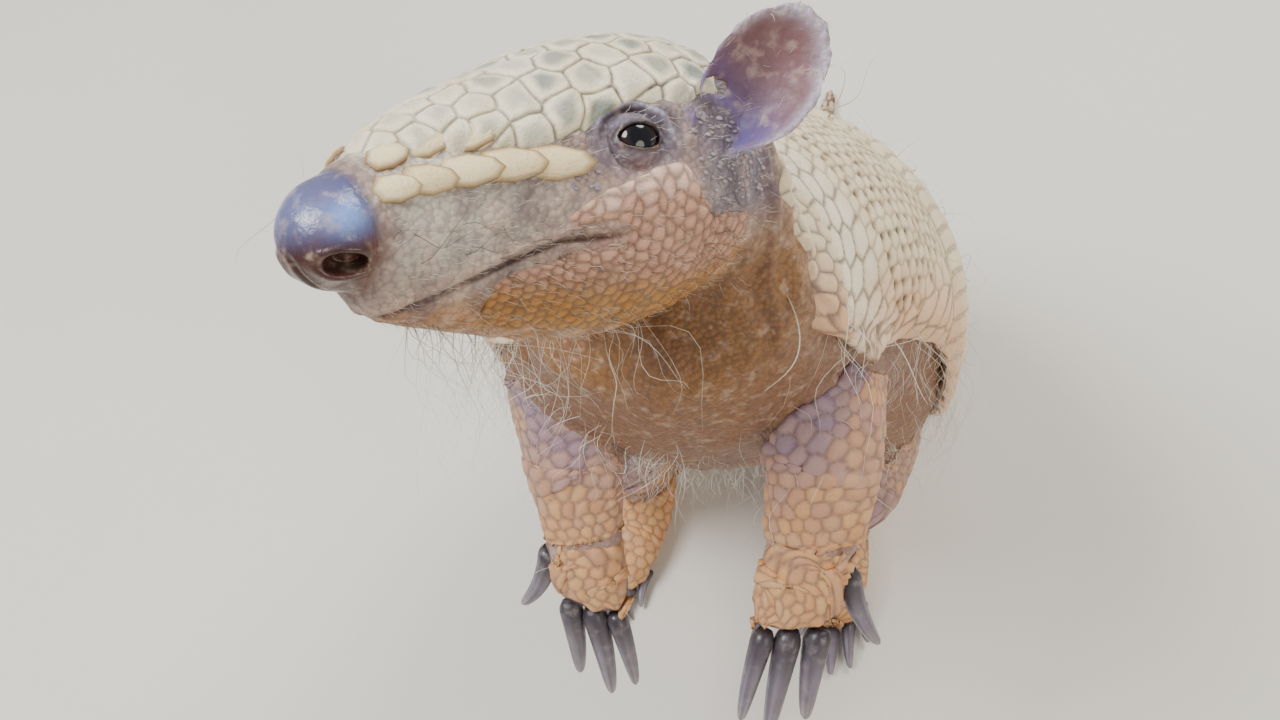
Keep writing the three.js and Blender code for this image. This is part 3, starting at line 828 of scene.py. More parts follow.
class NodeSheet:
    """One material's nodes, laid out step by step."""

    def __init__(self, name: str) -> None:
        """Starts a material of this name with its shader."""
        self.material = bpy.data.materials.new(name)
        self.material.use_nodes = True
        self.nodes = self.material.node_tree.nodes
        self.links = self.material.node_tree.links
        self.shader = self.nodes["Principled BSDF"]

    def add(self, kind: str, **settings: object) -> bpy.types.Node:
        """Adds a node with these settings.

        Args:
            kind: The node's type.
            settings: Its settings.

        Returns:
            The node.
        """
        node = self.nodes.new(kind)
        for name, value in settings.items():
            setattr(node, name, value)
        return node

    def feed(self, socket: bpy.types.NodeSocket, value: object) -> None:
        """Links an output to a socket, or sets the socket's own number or colour."""
        if isinstance(value, bpy.types.NodeSocket):
            self.links.new(value, socket)
        elif isinstance(value, str):
            socket.default_value = (*linear(value), 1.0)
        else:
            socket.default_value = value

    def shade(self, **inputs: object) -> None:
        """Feeds the shader's inputs, whose spaces are written as underscores."""
        for name, value in inputs.items():
            self.feed(self.shader.inputs[name.replace("_", " ")], value)

    def number(self, name: str) -> bpy.types.NodeSocket:
        """Reads a number that the piece keeps at its points."""
        return self.add("ShaderNodeAttribute", attribute_name=name).outputs["Fac"]

    def colour(self, name: str) -> bpy.types.NodeSocket:
        """Reads a colour that the piece keeps at its points."""
        return self.add("ShaderNodeAttribute", attribute_name=name).outputs["Color"]

    def noise(self, scale: float, detail: float = 4.0) -> bpy.types.NodeSocket:
        """Reads soft irregular noise, with this many swellings to the metre.

        Args:
            scale: How many swellings to the metre.
            detail: How many finer layers it has.

        Returns:
            Values round one half.
        """
        node = self.add("ShaderNodeTexNoise")
        self.feed(node.inputs["Vector"], self.add("ShaderNodeTexCoord").outputs["Object"])
        self.feed(node.inputs["Scale"], scale)
        self.feed(node.inputs["Detail"], detail)
        return node.outputs["Fac"]

    def cells(self, scale: float) -> bpy.types.NodeSocket:
        """Reads a cell pattern's distance, with this many cells to the metre."""
        node = self.add("ShaderNodeTexVoronoi")
        self.feed(node.inputs["Vector"], self.add("ShaderNodeTexCoord").outputs["Object"])
        self.feed(node.inputs["Scale"], scale)
        return node.outputs["Distance"]

    def spread(
        self, value: bpy.types.NodeSocket, source: tuple[float, float], target: tuple[float, float]
    ) -> bpy.types.NodeSocket:
        """Maps one range of numbers to another, held at both ends.

        Args:
            value: The number.
            source: The range it has.
            target: The range it gets.

        Returns:
            The new number.
        """
        node = self.add("ShaderNodeMapRange", interpolation_type="SMOOTHSTEP")
        for name, number in zip(("From Min", "From Max", "To Min", "To Max"), (*source, *target)):
            self.feed(node.inputs[name], number)
        self.feed(node.inputs["Value"], value)
        return node.outputs["Result"]

    def maths(self, kind: str, first: object, second: object) -> bpy.types.NodeSocket:
        """Works on two numbers.

        Args:
            kind: The operation.
            first: The first number.
            second: The second number.

        Returns:
            The result.
        """
        node = self.add("ShaderNodeMath", operation=kind)
        self.feed(node.inputs[0], first)
        self.feed(node.inputs[1], second)
        return node.outputs[0]

    def mixed(self, first: object, second: object, share: object) -> bpy.types.NodeSocket:
        """Mixes two colours by a share from 0 to 1.

        Args:
            first: The first colour.
            second: The second colour.
            share: How much of the second.

        Returns:
            The mixed colour.
        """
        node = self.add("ShaderNodeMix", data_type="RGBA")
        self.feed(node.inputs[0], share)
        self.feed(node.inputs[6], first)
        self.feed(node.inputs[7], second)
        return node.outputs[2]

    def clouded(
        self, base: object, code: str, noise: tuple[float, float], source: tuple[float, float], most: float
    ) -> bpy.types.NodeSocket:
        """Washes a colour over another where noise is high.

        Args:
            base: The colour below.
            code: The colour above.
            noise: The noise's scale and detail.
            source: The noise where the wash starts and where it is full.
            most: The share of the colour above where the wash is full.

        Returns:
            The mixed colour.
        """
        return self.mixed(base, code, self.spread(self.noise(*noise), source, (0.0, most)))

    def bumped(self, *layers: tuple[bpy.types.NodeSocket, float]) -> bpy.types.NodeSocket:
        """Stacks bumps, each a height from 0 to 1 and its depth in millimetres."""
        normal = None
        for height, depth in layers:
            node = self.add("ShaderNodeBump")
            self.feed(node.inputs["Strength"], 1.0)
            self.feed(node.inputs["Distance"], depth * MM)
            self.feed(node.inputs["Height"], height)
            if normal is not None:
                self.feed(node.inputs["Normal"], normal)
            normal = node.outputs["Normal"]
        return normal


@dataclass(frozen=True)
class ScuteFinish:
    """Weathered horn over bone: matt, finely pitted, darker where dirt has settled in the joints."""

    name: str
    dirt: str = "4a3c30"
    polish: float = 0.42
    matt: float = 0.68
    speck: float = 1500.0
    pore: float = 0.10
    mottle: float = 120.0

    def make(self) -> bpy.types.Material:
        """Builds the material."""
        sheet = NodeSheet(self.name)
        base = sheet.colour("tint")
        base = sheet.clouded(base, "b59a72", (self.mottle, 5.0), (0.35, 0.75), 0.20)
        base = sheet.clouded(base, "8a7258", (self.speck, 3.0), (0.45, 0.78), 0.22)
        crack = sheet.number("crack")
        wear = sheet.spread(sheet.noise(380.0, 4.0), (0.25, 0.75), (0.55, 1.0))
        base = sheet.mixed(base, self.dirt, sheet.maths("MULTIPLY", crack, wear))
        rough = sheet.spread(sheet.noise(420.0, 4.0), (0.3, 0.7), (self.polish, self.matt))
        grain = sheet.noise(self.speck, 4.0)
        pits = sheet.spread(sheet.cells(900.0), (0.05, 0.4), (0.0, 1.0))
        normal = sheet.bumped((sheet.noise(380.0, 5.0), 0.35), (pits, self.pore), (grain, 0.12))
        sheet.shade(Base_Color=base, Roughness=rough, Normal=normal, Specular_IOR_Level=0.42)
        sheet.shade(Subsurface_Weight=0.06, Subsurface_Scale=0.002)
        return sheet.material


# ---- Shell ----


@dataclass(frozen=True)
class Cells:
    """What a mosaic says at each place: whose cell it is, how far its edge is, and how near a pit."""

    owner: Array
    edge: Array
    pit: Array


class Mosaic:
    """Cells round seeds, each as long and as wide as its seed says."""

    CHUNK = 5000
    NO_HOLES = np.full((1, 2), 3e5)  # one pit, too far off to be seen

    def __init__(self, seeds: Array, sizes: Array, holes: Optional[Array] = None) -> None:
        """Keeps the seeds.

        Args:
            seeds: Their places on the plate, along and across, in millimetres.
            sizes: Half the length and half the width of each cell.
            holes: Places of pits; where there are none, pits lie where three cells meet.
        """
        self.seeds = seeds
        self.sizes = sizes
        self.holes: Optional[KDTree] = None
        if holes is not None:
            self.holes = KDTree(len(holes))
            for k, hole in enumerate(holes):
                self.holes.insert((*hole, 0.0), k)
            self.holes.balance()

    def read(self, places: Array) -> Cells:
        """Reads the mosaic at places on the plate.

        Args:
            places: Places along and across, in millimetres.

        Returns:
            The readings.
        """
        owner = np.empty(len(places), int)
        edge = np.empty(len(places))
        pit = np.empty(len(places))
        small = self.sizes.min(axis=1)
        for part in np.array_split(np.arange(len(places)), len(places) // self.CHUNK + 1):
            gap = (places[part, None] - self.seeds) / self.sizes
            far = np.hypot(gap[..., 0], gap[..., 1])
            three = np.argpartition(far, 2, axis=1)[:, :3]
            near = np.take_along_axis(far, three, axis=1)
            rank = np.argsort(near, axis=1)
            near = np.take_along_axis(near, rank, axis=1)
            first = np.take_along_axis(three, rank, axis=1)[:, 0]
            owner[part] = first
            edge[part] = (near[:, 1] - near[:, 0]) * small[first] / 2
            pit[part] = (near[:, 2] - near[:, 0]) * small[first] / 2
        if self.holes is not None:
            pit = np.array([self.holes.find((*place, 0.0))[2] for place in places])
        return Cells(owner, edge, pit)


def staggered(first: float, last: float, step: float, half: float, pitch: float) -> Array:
    """Seeds in rows across a plate, every other row moved by half a step.

    Args:
        first: The first row's distance along.
        last: How far the rows may reach.
        step: The distance between rows.
        half: Half the plate's width.
        pitch: The distance between seeds of a row.

    Returns:
        Places along and across.
    """
    rows = []
    for k, along in enumerate(np.arange(first, last, step)):
        across = np.arange(-half, half + pitch, pitch) + (k % 2) * pitch / 2
        rows.append(stacked(np.full_like(across, along), across))
    return np.concatenate(rows)


class Layout(Enum):
    """How a plate's scutes are laid out."""

    SHIELD = "shield"
    BAND = "band"


@dataclass(frozen=True)
class Palette:
    """Colours of a plate's scutes."""

    crown: Array = field(default_factory=lambda: linear("ecdcb9"))
    grey: Array = field(default_factory=lambda: linear("cdb893"))
    tan: Array = field(default_factory=lambda: linear("dca478"))
    front: Array = field(default_factory=lambda: linear("f1e6cd"))
    joint: Array = field(default_factory=lambda: linear("967650"))


@dataclass
class ShellPlate:
    """One plate of the shell, with its scutes in relief.

    The sizes are in millimetres: the mesh's pitch, the plate's thickness, how far the rear edge
    stands up over the next plate, how far it reaches over it, and the two kinds of joints.
    """

    node: str
    layout: Layout
    wrap: Wrap
    pitch: float
    seed: int
    thickness: float = 2.4
    lift: float = 0.0
    overlap: float = 0.0
    dome: float = 0.50
    joint: float = 0.34
    hole: float = 1.10
    roll: float = 1.6
    palette: Palette = field(default_factory=Palette)

    @property
    def foremost(self) -> bool:
        """Whether this is the shield over the shoulders."""
        return self.node == "scapular_shield"

    def build(self, finish: bpy.types.Material) -> Piece:
        """Makes the plate.

        Args:
            finish: Its material.

        Returns:
            The finished piece.
        """
        front, rear = self.wrap.edges(self.node)
        middle = (front(0.0) + rear(0.0)) / 2
        half = float(self.wrap.half_width(np.array([middle]))[0])
        length = float(rear(0.0) - front(0.0)) + self.overlap
        grid = Grid.added(f"{self.node}_scutes", length, 2 * half, self.pitch)
        piece, share = grid.piece, grid.share
        start, stop = front(share), rear(share) + self.overlap
        if self.foremost:
            start = start + 13.0 * ramp(np.abs(share), 0.80, 1.0)
        along = start + grid.along * (stop - start)
        width = self.wrap.half_width(along)
        flat = stacked(along, share * width)
        mosaic = self.mosaic(front, rear, half)
        cells = mosaic.read(flat)
        surface, out = self.wrap.at(along, share * 0.995)
        margin = np.minimum(np.minimum(along - start, stop - along), (1 - np.abs(share)) * width)
        height = self.relief(cells, mosaic, surface, along, start, stop)
        height -= 1.3 * (1 - ramp(margin, 0, self.roll)) + 0.15
        if self.foremost:
            height -= 1.5 * (1 - ramp(along - start, 0, 3.2))
        put_points(piece, TRUNK.world(surface + out * height[:, None]))
        put_tint(piece, self.colours(cells, mosaic, along - start, (1 - np.abs(share)) * width))
        large = ramp(mosaic.sizes.min(axis=1), 2.5, 2.8)[cells.owner]
        crack = bell(cells.edge, 0, self.joint) * (0.34 + 0.5 * large)
        crack = np.maximum(crack, self.deep(surface) * np.exp(-((cells.pit / self.hole) ** 4)))
        put_channel(piece, "crack", np.clip(crack, 0, 1))
        grid.thicken(TRUNK.turned(out), self.thickness)
        return present(piece, Slot.SHELL, finish, [self.node])

    def deep(self, surface: Array) -> Array:
        """How dark the pits are from place to place."""
        return 0.50 + 0.48 * ramp(ripple(surface, 9.0, self.seed + 8), -1.2, 0.8)

    def mosaic(self, front: Callable, rear: Callable, half: float) -> Mosaic:
        """Lays out the seeds.

        Args:
            front: The front edge.
            rear: The rear edge.
            half: Half the plate's width.

        Returns:
            The plate's mosaic.
        """
        draw = np.random.default_rng(self.seed)
        first, last = float(front(0.0)), float(rear(0.0))
        holes = Mosaic.NO_HOLES
        if self.layout is Layout.BAND:
            pitch = 7.2
            count = int(2 * half / pitch)
            main = np.linspace(-half, half, count) + draw.normal(0, 0.15, count)
            body = stacked(last - 5.0, main)
            side = (main[1:] + main[:-1]) / 2
            parts = [(body, (6.0, 2.9))]
            for step in (1.5, 4.6, 7.6, 10.5):
                spot = stacked(np.full(count - 1, last - step), side)
                parts.append((spot, (1.5, 0.75)))
            head = stacked(first + 2.0, main)
            parts.append((head, (2.2, 2.9)))
        else:
            fore = 18.5 if self.foremost else 6.0
            knobs = staggered(first + fore, last + 4, 4.7, half + 4, 5.0)
            knobs += draw.normal(0, 0.42, knobs.shape)
            knobs = knobs[np.abs(knobs[:, 1]) < half - 12.5]
            parts = [(knobs, (2.35, 2.5))]
            holes = knobs + (3.0, 0) + draw.normal(0, 0.5, knobs.shape)
            holes = holes[draw.uniform(0, 1, len(holes)) > 0.18]
            steps = np.arange(first - 30, last + 30, 9.4)
            for k, inset in enumerate((2.6, 8.8)):
                for sign in (-1, 1):
                    rows = steps + draw.normal(0, 0.4, len(steps)) + k * 3
                    across = sign * (self.wrap.half_width(rows) - inset)
                    parts.append((stacked(rows, across), (4.8, 3.1)))
            for k, inset in enumerate((2.6, 8.2, 13.8) if fore > 10 else (2.6,)):
                brow = np.arange(-half, half, 9.6) + 4.8 * (k % 2)
                brow += draw.normal(0, 0.5, len(brow))
                start = front(brow / half)
                parts.append((stacked(start + inset, brow), (3.0, 4.9)))
        seeds = np.concatenate([spots for spots, _ in parts])
        sizes = np.concatenate([np.tile(size, (len(spots), 1)) for spots, size in parts])
        return Mosaic(seeds, sizes * draw.uniform(0.93, 1.07, (len(sizes), 1)), holes)

    def relief(
        self, cells: Cells, mosaic: Mosaic, surface: Array, along: Array, start: Array, stop: Array
    ) -> Array:
        """How far each point stands off the plate's plain face, in millimetres.

        Args:
            cells: The mosaic's readings.
            mosaic: The mosaic.
            surface: The points' places on the plain face.
            along: Their distances along.
            start: The front edge at their shares.
            stop: The rear edge at their shares.

        Returns:
            One height for each point.
        """
        draw = np.random.default_rng(self.seed + 1)
        size = mosaic.sizes.min(axis=1)
        lift = draw.normal(0, 0.06, len(size)) + 0.08 * (size - 1.7)
        height = self.dome * (1 - np.exp(-cells.edge / 0.75)) + lift[cells.owner] * ramp(cells.edge, 0, 0.8)
        height -= 0.8 * np.exp(-((cells.pit / self.hole) ** 4))
        height += 0.05 * ripple(surface, 6.0, self.seed) + 0.15 * ripple(surface, 28.0, self.seed + 5)
        share = (along - start) / (stop - start)
        return height + self.lift * (share - 0.5) * 2 - 0.5

    def colours(self, cells: Cells, mosaic: Mosaic, ahead: Array, margin: Array) -> Array:
        """The colour of each point.

        Args:
            cells: The mosaic's readings.
            mosaic: The mosaic.
            ahead: The distance from the front edge.
            margin: The distance from the nearer side margin.

        Returns:
            Linear colours.
        """
        draw = np.random.default_rng(self.seed + 2)
        tone = draw.uniform(0, 1, len(mosaic.seeds))[cells.owner][:, None]
        look = self.palette
        colour = blend(look.crown, look.grey, 0.35 * tone)
        low = ramp(margin, 34, 4)[:, None]
        colour = blend(colour, look.tan, 0.75 * low)
        if self.foremost:
            brow = ramp(ahead, 22, 9)[:, None] * (1 - 0.6 * low)
            colour = blend(colour, look.front, brow)
        rim = bell(cells.edge, 0, 0.5)[:, None]
        pit = 0.75 * bell(cells.pit, 0, 1.3)[:, None]
        colour = blend(colour, 0.7 * look.joint, pit)
        warm = blend(look.joint, look.tan, 0.4 * low)
        return blend(colour, warm, 0.4 * rim)


@dataclass
class Shell:
    """The scapular shield, the seven bands and the pelvic shield."""

    bands: int = 7
    lift: float = 0.75
    overlap: float = 1.4
    wrap: Optional[Wrap] = None

    def plates(self) -> list[ShellPlate]:
        """Names the plates, each with the pitch of its mesh."""
        names = ["scapular_shield", *(f"band_{k + 1}" for k in range(self.bands)), "pelvic_shield"]
        low, high = (TRUNK.local(solid_points(name)) for name in (names[0], names[-1]))
        wrap = Wrap(names, TRUNK, low[:, 1].min(), high[:, 1].max(), margin_last=250.0)
        self.wrap = wrap
        out = [ShellPlate(names[0], Layout.SHIELD, wrap, 0.52, 11, overlap=1.2)]
        for k, name in enumerate(names[1:-1]):
            out.append(ShellPlate(name, Layout.BAND, wrap, 0.7, 30 + k, lift=self.lift, overlap=self.overlap))
        out.append(ShellPlate(names[-1], Layout.SHIELD, wrap, 0.72, 50))
        return out

    def build(self) -> list[Piece]:
        """Builds every plate."""
        finish = ScuteFinish("shell_horn").make()
        return [plate.build(finish) for plate in self.plates()]


@dataclass
class HeadShield:
    """The shield of polygonal scutes on the head.

    Rows of scutes run across the head at these stations, with this distance between scutes of a
    row. All sizes are in millimetres.
    """

    rows: tuple[float, ...] = (-90, -84, -77, -69.5, -61.5, -52.5, -43, -33, -23, -13.5, -4, 5, 12.5)
    pitch: float = 0.42
    column: float = 10.0
    thickness: float = 1.6
    stand: float = 2.3
    let_in: float = 1.3
    rise: float = 6.0
    tongue: float = 10.0
    seed: int = 70
    cream: Array = field(default_factory=lambda: linear("e9ddba"))
    slate: Array = field(default_factory=lambda: linear("66756f"))
    blue: Array = field(default_factory=lambda: linear("6f80ac"))
    pale: Array = field(default_factory=lambda: linear("f4ecd6"))

    def seeds(self, wrap: Wrap) -> tuple[Array, Array]:
        """Lays out the scutes' seeds and their half sizes.

        Args:
            wrap: The head's outer face.

        Returns:
            The seeds and the half sizes.
        """
        draw = np.random.default_rng(self.seed)
        spots, sizes = [], []
        steps = np.gradient(np.array(self.rows))
        for k, (along, step) in enumerate(zip(self.rows, steps)):
            half = float(wrap.half_width(np.array([along]))[0])
            width = self.column * (0.82 if along < -56 else 1.0)
            count = max(2, int(round(2 * half / width)))
            offset = 0.5 if k % 2 else 0.0
            across = (np.arange(-1, count + 2) + offset + 0.25) * (2 * half / count) - half
            for place in across:
                edge = abs(place) > half - 5
                shrink = 0.78 if edge and along > -8 else 1.0
                jitter = draw.normal(0, 0.75, 2)
                spots.append((along + jitter[0], place + jitter[1]))
                sizes.append((step / 2 * shrink, half / count * shrink))
        return np.array(spots), np.array(sizes)

    def build(self, skin: Solids) -> Piece:
        """Makes the shield.

        Args:
            skin: The skin that its rim is let into.

        Returns:
            The finished piece.
        """
        node = "head_shield"
        local = HEAD.local(solid_points(node))
        wrap = Wrap([node], HEAD, local[:, 1].min() + 0.6, local[:, 1].max() - 0.6, blur=1.6)
        front, rear = wrap.edges(node)
        length = local[:, 1].max() - local[:, 1].min() + self.tongue
        grid = Grid.added("head_scutes", length, 2 * float(wrap.half.max()), self.pitch)
        piece, share = grid.piece, grid.share
        start = front(share) + 0.4 - self.tongue * (1 - 0.6 * share**2)
        stop = rear(share) - 0.4 - 5.0 * ramp(np.abs(share), 0.72, 0.95)
        along = start + grid.along * (stop - start)
        width = wrap.half_width(along)
        seeds, sizes = self.seeds(wrap)
        mosaic = Mosaic(seeds, sizes)
        flat = stacked(along, share * width, 0)
        wander = stacked(ripple(flat, 7.0, 3), ripple(flat, 7.0, 4)) * 0.35
        cells = mosaic.read(flat[:, :2] + wander)
        surface, out = wrap.at(along, share * 0.995)
        margin = np.minimum(np.minimum(along - start, stop - along), (1 - np.abs(share)) * width)
        surface = self.hugged(grid, skin, surface, margin)
        snout = ramp(along, -30, -62)
        roll = 0.7 + 0.8 * snout
        height = (0.45 + 0.45 * snout) * (1 - np.exp(-cells.edge / roll))
        height -= 0.35 * bell(cells.edge, 0, 0.28)
        draw = np.random.default_rng(self.seed + 1)
        height += (draw.normal(0, 0.14, len(seeds)))[cells.owner] * ramp(cells.edge, 0, 0.9)
        height += 0.10 * ripple(surface, 5.0, 8) + 0.18 * ripple(surface, 16.0, 9)
        height *= ramp(along - start, -1, 9)
        put_points(piece, HEAD.world(surface + out * (height[:, None] - 0.35)))
        put_tint(piece, self.colours(cells, len(seeds), along, share, surface))
        crack = bell(cells.edge, 0, 0.34) * (1.0 - 0.35 * snout)
        crack = np.maximum(crack, 0.7 * bell(cells.pit, 0, 0.3))
        put_channel(piece, "crack", crack)
        grid.thicken(HEAD.turned(out), self.thickness)
        finish = ScuteFinish("head_horn", dirt="2c241e", polish=0.34, matt=0.6).make()
        return present(piece, Slot.HEAD_SHIELD, finish, [node])

    def hugged(self, grid: Grid, skin: Solids, surface: Array, margin: Array) -> Array:
        """Draws the shield down to the skin where it would stand off, most of all at its rim.

        Args:
            grid: The shield's mesh.
            skin: The skin.
            surface: The places of its face on the solid.
            margin: The distance of each from the rim.

        Returns:
            The new places.
        """
        hub = surface * (0, 1, 0)
        far = np.linalg.norm(surface - hub, axis=1)
        ways = (surface - hub) / far[:, None]
        hits = skin.inward(HEAD.world(hub), HEAD.turned(ways), (far + 2.5) * MM, 0.0)
        low = np.linalg.norm(HEAD.local(hits) - hub, axis=1)
        off = self.stand * ramp(margin, 0.5, self.rise) - self.let_in * ramp(margin, 2.0, 0)
        gap = np.minimum(low - far + off, 0.0)
        gap = grid.smoothed(gap, 2.2) + np.minimum(off, 0) * ramp(margin, 1.0, 0)
        return surface + ways * gap[:, None]

    def colours(self, cells: Cells, count: int, along: Array, share: Array, surface: Array) -> Array:
        """Cream borders round greyer middles, bluer on the far side and paler on the snout.

        Args:
            cells: The mosaic's readings.
            count: How many seeds there are.
            along: The points' distances along.
            share: Their shares across.
            surface: Their places.

        Returns:
            Linear colours.
        """
        draw = np.random.default_rng(self.seed + 2)
        tone = draw.uniform(0.25, 1, count)[cells.owner]
        centre = ramp(cells.edge, 0.7, 3.2) * tone
        centre = centre * (1 - 0.35 * ramp(along, -56, -74)) * (1 - 0.6 * ramp(along, -74, -86))
        bluish = ramp(share, 0.25, -0.5)[:, None]
        middle = blend(self.slate, self.blue, bluish)
        pale = 0.5 + 0.5 * ripple(surface, 20.0, 12)
        border = blend(self.cream, self.pale, 0.4 * pale[:, None])
        centre = (0.92 * centre)[:, None]
        rim = 0.22 * bell(cells.edge, 0, 0.5)[:, None]
        return blend(border, middle, centre) * (1 - rim)


# ---- Skin ----


class Paint:
    """Colours at points, washed one over another."""

    def __init__(self, count: int, code: str) -> None:
        """Starts with one colour at every point."""
        self.colour = np.tile(linear(code), (count, 1))

    def wash(self, code: str, share: Array) -> None:
        """Lays a colour over the points by a share from 0 to 1."""
        self.colour += (linear(code) - self.colour) * np.clip(share, 0, 1)[:, None]


@dataclass(frozen=True)
class SkinFinish:
    """Leathery skin: pebbled and creased, matt on the body, moist on the nose and the lids."""

    name: str = "hide"
    pebble: float = 620.0
    crease: float = 210.0

    def make(self) -> bpy.types.Material:
        """Builds the material."""
        sheet = NodeSheet(self.name)
        base = sheet.colour("tint")
        rough_part = sheet.number("pebble")
        base = sheet.clouded(base, "6d4f45", (90.0, 5.0), (0.35, 0.7), 0.35)
        base = sheet.clouded(base, "e0c8b0", (260.0, 4.0), (0.5, 0.75), 0.30)
        grains = sheet.cells(self.pebble)
        seam = sheet.spread(grains, (0.45, 0.75), (0.0, 1.0))
        dark = sheet.maths("MULTIPLY", rough_part, 0.42)
        base = sheet.mixed(base, "3d2c2a", sheet.maths("MULTIPLY", seam, dark))
        wet = sheet.number("wet")
        dry = sheet.spread(sheet.noise(500.0, 3.0), (0.3, 0.7), (0.46, 0.66))
        rough = sheet.maths("SUBTRACT", dry, sheet.maths("MULTIPLY", wet, 0.34))
        height = sheet.maths("MULTIPLY", sheet.spread(grains, (0.0, 0.8), (1.0, 0.0)), rough_part)
        folds = sheet.noise(self.crease, 6.0)
        normal = sheet.bumped((folds, 0.5), (height, 0.35), (sheet.noise(1900.0, 3.0), 0.06))
        sheet.shade(Base_Color=base, Roughness=rough, Normal=normal, Specular_IOR_Level=0.45)
        sheet.shade(Subsurface_Weight=0.12, Subsurface_Scale=0.0025)
        return sheet.material


@dataclass
class EyeSite:
    """Where an eye sits: its middle, its own left and up along the face, and the way it looks."""

    side: str
    sign: float
    middle: Array
    along: Array
    upward: Array
    out: Array

    def seen(self, points: Array) -> tuple[Array, Array, Array]:
        """A place's distances along the slit, across it, and outwards, in millimetres."""
        gap = (points - self.middle) / MM
        return gap @ self.along, gap @ self.upward, gap @ self.out


@dataclass
class Hide:
    """The one skin of head, nose, ears, neck, trunk, legs, feet and tail.

    The sizes are in millimetres. The solids are blended at a coarse voxel and the ears at a fine
    one, and the fine mesh is thinned away from the head.
    """

    coarse: float = 2.0
    blend: int = 12
    swell: float = 0.45
    relax: int = 36
    fine: float = 1.1
    ratio: float = 0.14
    ball: float = 6.1
    lid: float = 0.75
    slit: tuple[float, float] = (5.3, 2.85)
    slant: float = 14.0
    lips: tuple[tuple[float, float], ...] = (
        (-95, -22.5), (-84, -18.5), (-77, -16.7), (-63, -12.9), (-49, -10.2), (-34.6, -11.4),
    )
    nostril: tuple[float, float, float] = (10.2, -101.2, -5.8)
    # The trunk's dark ochre is partly the skin's own colour and partly painted shade and warm light bounced
    # onto the chest.
    skin_tones: tuple[tuple[str, str], ...] = (
        ("head", "9f8b80"), ("nose", "4a241a"), ("neck", "b08f6c"), ("trunk", "7a5228"), ("ear", "93767c"),
        ("nuchal", "8c6f66"), ("foreleg", "a3868c"), ("forefoot", "c09c7c"), ("hindleg", "9a7c74"),
        ("hindfoot", "b08d72"), ("tail", "ad8f78"),
    )
    sites: list[EyeSite] = field(default_factory=list)
    names: list[str] = field(default_factory=list)
    owners: Optional[Array] = None

    def flesh(self) -> list[str]:
        """Names the solids that the skin stands for."""
        kinds = [name for name, _ in self.skin_tones]
        return [name for name in NODES if name.split("_")[0] in kinds and name != "head_shield"]

    def build(self) -> Piece:
        """Makes the skin.

        Returns:
            The finished piece.
        """
        names = self.flesh()
        ears = [name for name in names if name.startswith("ear")]
        body = [copied(name) for name in names if name not in ears]
        body += [copied(f"eye_{side}") for side, _ in SIDES]
        skin = joined(body, "hide")
        modify(skin, "REMESH", mode="VOXEL", voxel_size=self.coarse * MM)
        modify(skin, "SMOOTH", factor=0.5, iterations=self.blend)
        self.soften(skin, names)
        put_points(skin, points_of(skin) + normals_of(skin) * self.swell * MM)
        flaps = []
        for name in ears:
            flap = copied(name)
            modify(flap, "SUBSURF", levels=2, render_levels=2)
            flaps.append(flap)
        skin = joined([skin, *flaps], "hide")
        modify(skin, "REMESH", mode="VOXEL", voxel_size=self.fine * MM)
        modify(skin, "SMOOTH", factor=0.5, iterations=3)
        self.thin(skin)
        self.sites = [self.site(skin, side, sign) for side, sign in SIDES]
        self.refine(skin)
        self.owners = Solids([NODES[name] for name in names]).settle(points_of(skin))[2]
        self.names = names
        self.shape(skin)
        self.colour(skin)
        return present(skin, Slot.HIDE, SkinFinish().make(), names)

    def soften(self, skin: Piece, names: Sequence[str]) -> None:
        """Rounds off the trunk, the neck and the legs further than the head and the feet.

        Args:
            skin: The skin.
            names: The solids under it.
        """
        _, _, owners = Solids([NODES[name] for name in names]).settle(points_of(skin))
        round_kinds = ("trunk", "neck", "nuchal", "hindleg", "foreleg")
        share = np.array([0.7 if names[k].startswith(round_kinds) else 0.0 for k in owners])
        share = neighbour_mean(skin, share, 4)
        group = skin.vertex_groups.new(name="round")
        for k, level in enumerate(share):
            group.add([k], float(level), "REPLACE")
        modify(skin, "SMOOTH", factor=0.5, iterations=self.relax, vertex_group="round")
        skin.vertex_groups.clear()

    def thin(self, skin: Piece) -> None:
        """Thins the mesh away from the face.

        Args:
            skin: The skin.
        """
        local = HEAD.local(points_of(skin))
        face = ramp(local[:, 1], 34, 18) * ramp(local[:, 2], -62, -48)
        face *= 1 - 0.85 * ramp(local[:, 2], 13, 18) * ramp(local[:, 1], -88, -82)
        weights = skin.vertex_groups.new(name="body")
        levels = np.round((1 - face) * 8) / 8
        for level in np.unique(levels):
            weights.add(np.nonzero(levels == level)[0].tolist(), float(level), "REPLACE")
        modify(skin, "DECIMATE", ratio=self.ratio, vertex_group="body", use_collapse_triangulate=True)
        skin.vertex_groups.clear()

    def site(self, skin: Piece, side: str, sign: float) -> EyeSite:
        """Finds how one eye lies in the face.

        Args:
            skin: The skin.
            side: The side's name.
            sign: The side's sign.

        Returns:
            The eye's site.
        """
        middle = solid_points(f"eye_{side}").mean(axis=0)
        near = np.linalg.norm(points_of(skin) - middle, axis=1) < 13 * MM
        out = unit(normals_of(skin)[near].mean(axis=0))
        slant = math.radians(self.slant)
        ahead = HEAD.turned(np.array([0, -math.cos(slant), math.sin(slant)]))
        along = unit(ahead - out * (ahead @ out))
        up = np.cross(out, along)
        return EyeSite(side, sign, middle, along, up * np.sign(up @ HEAD.axes[2]), out)

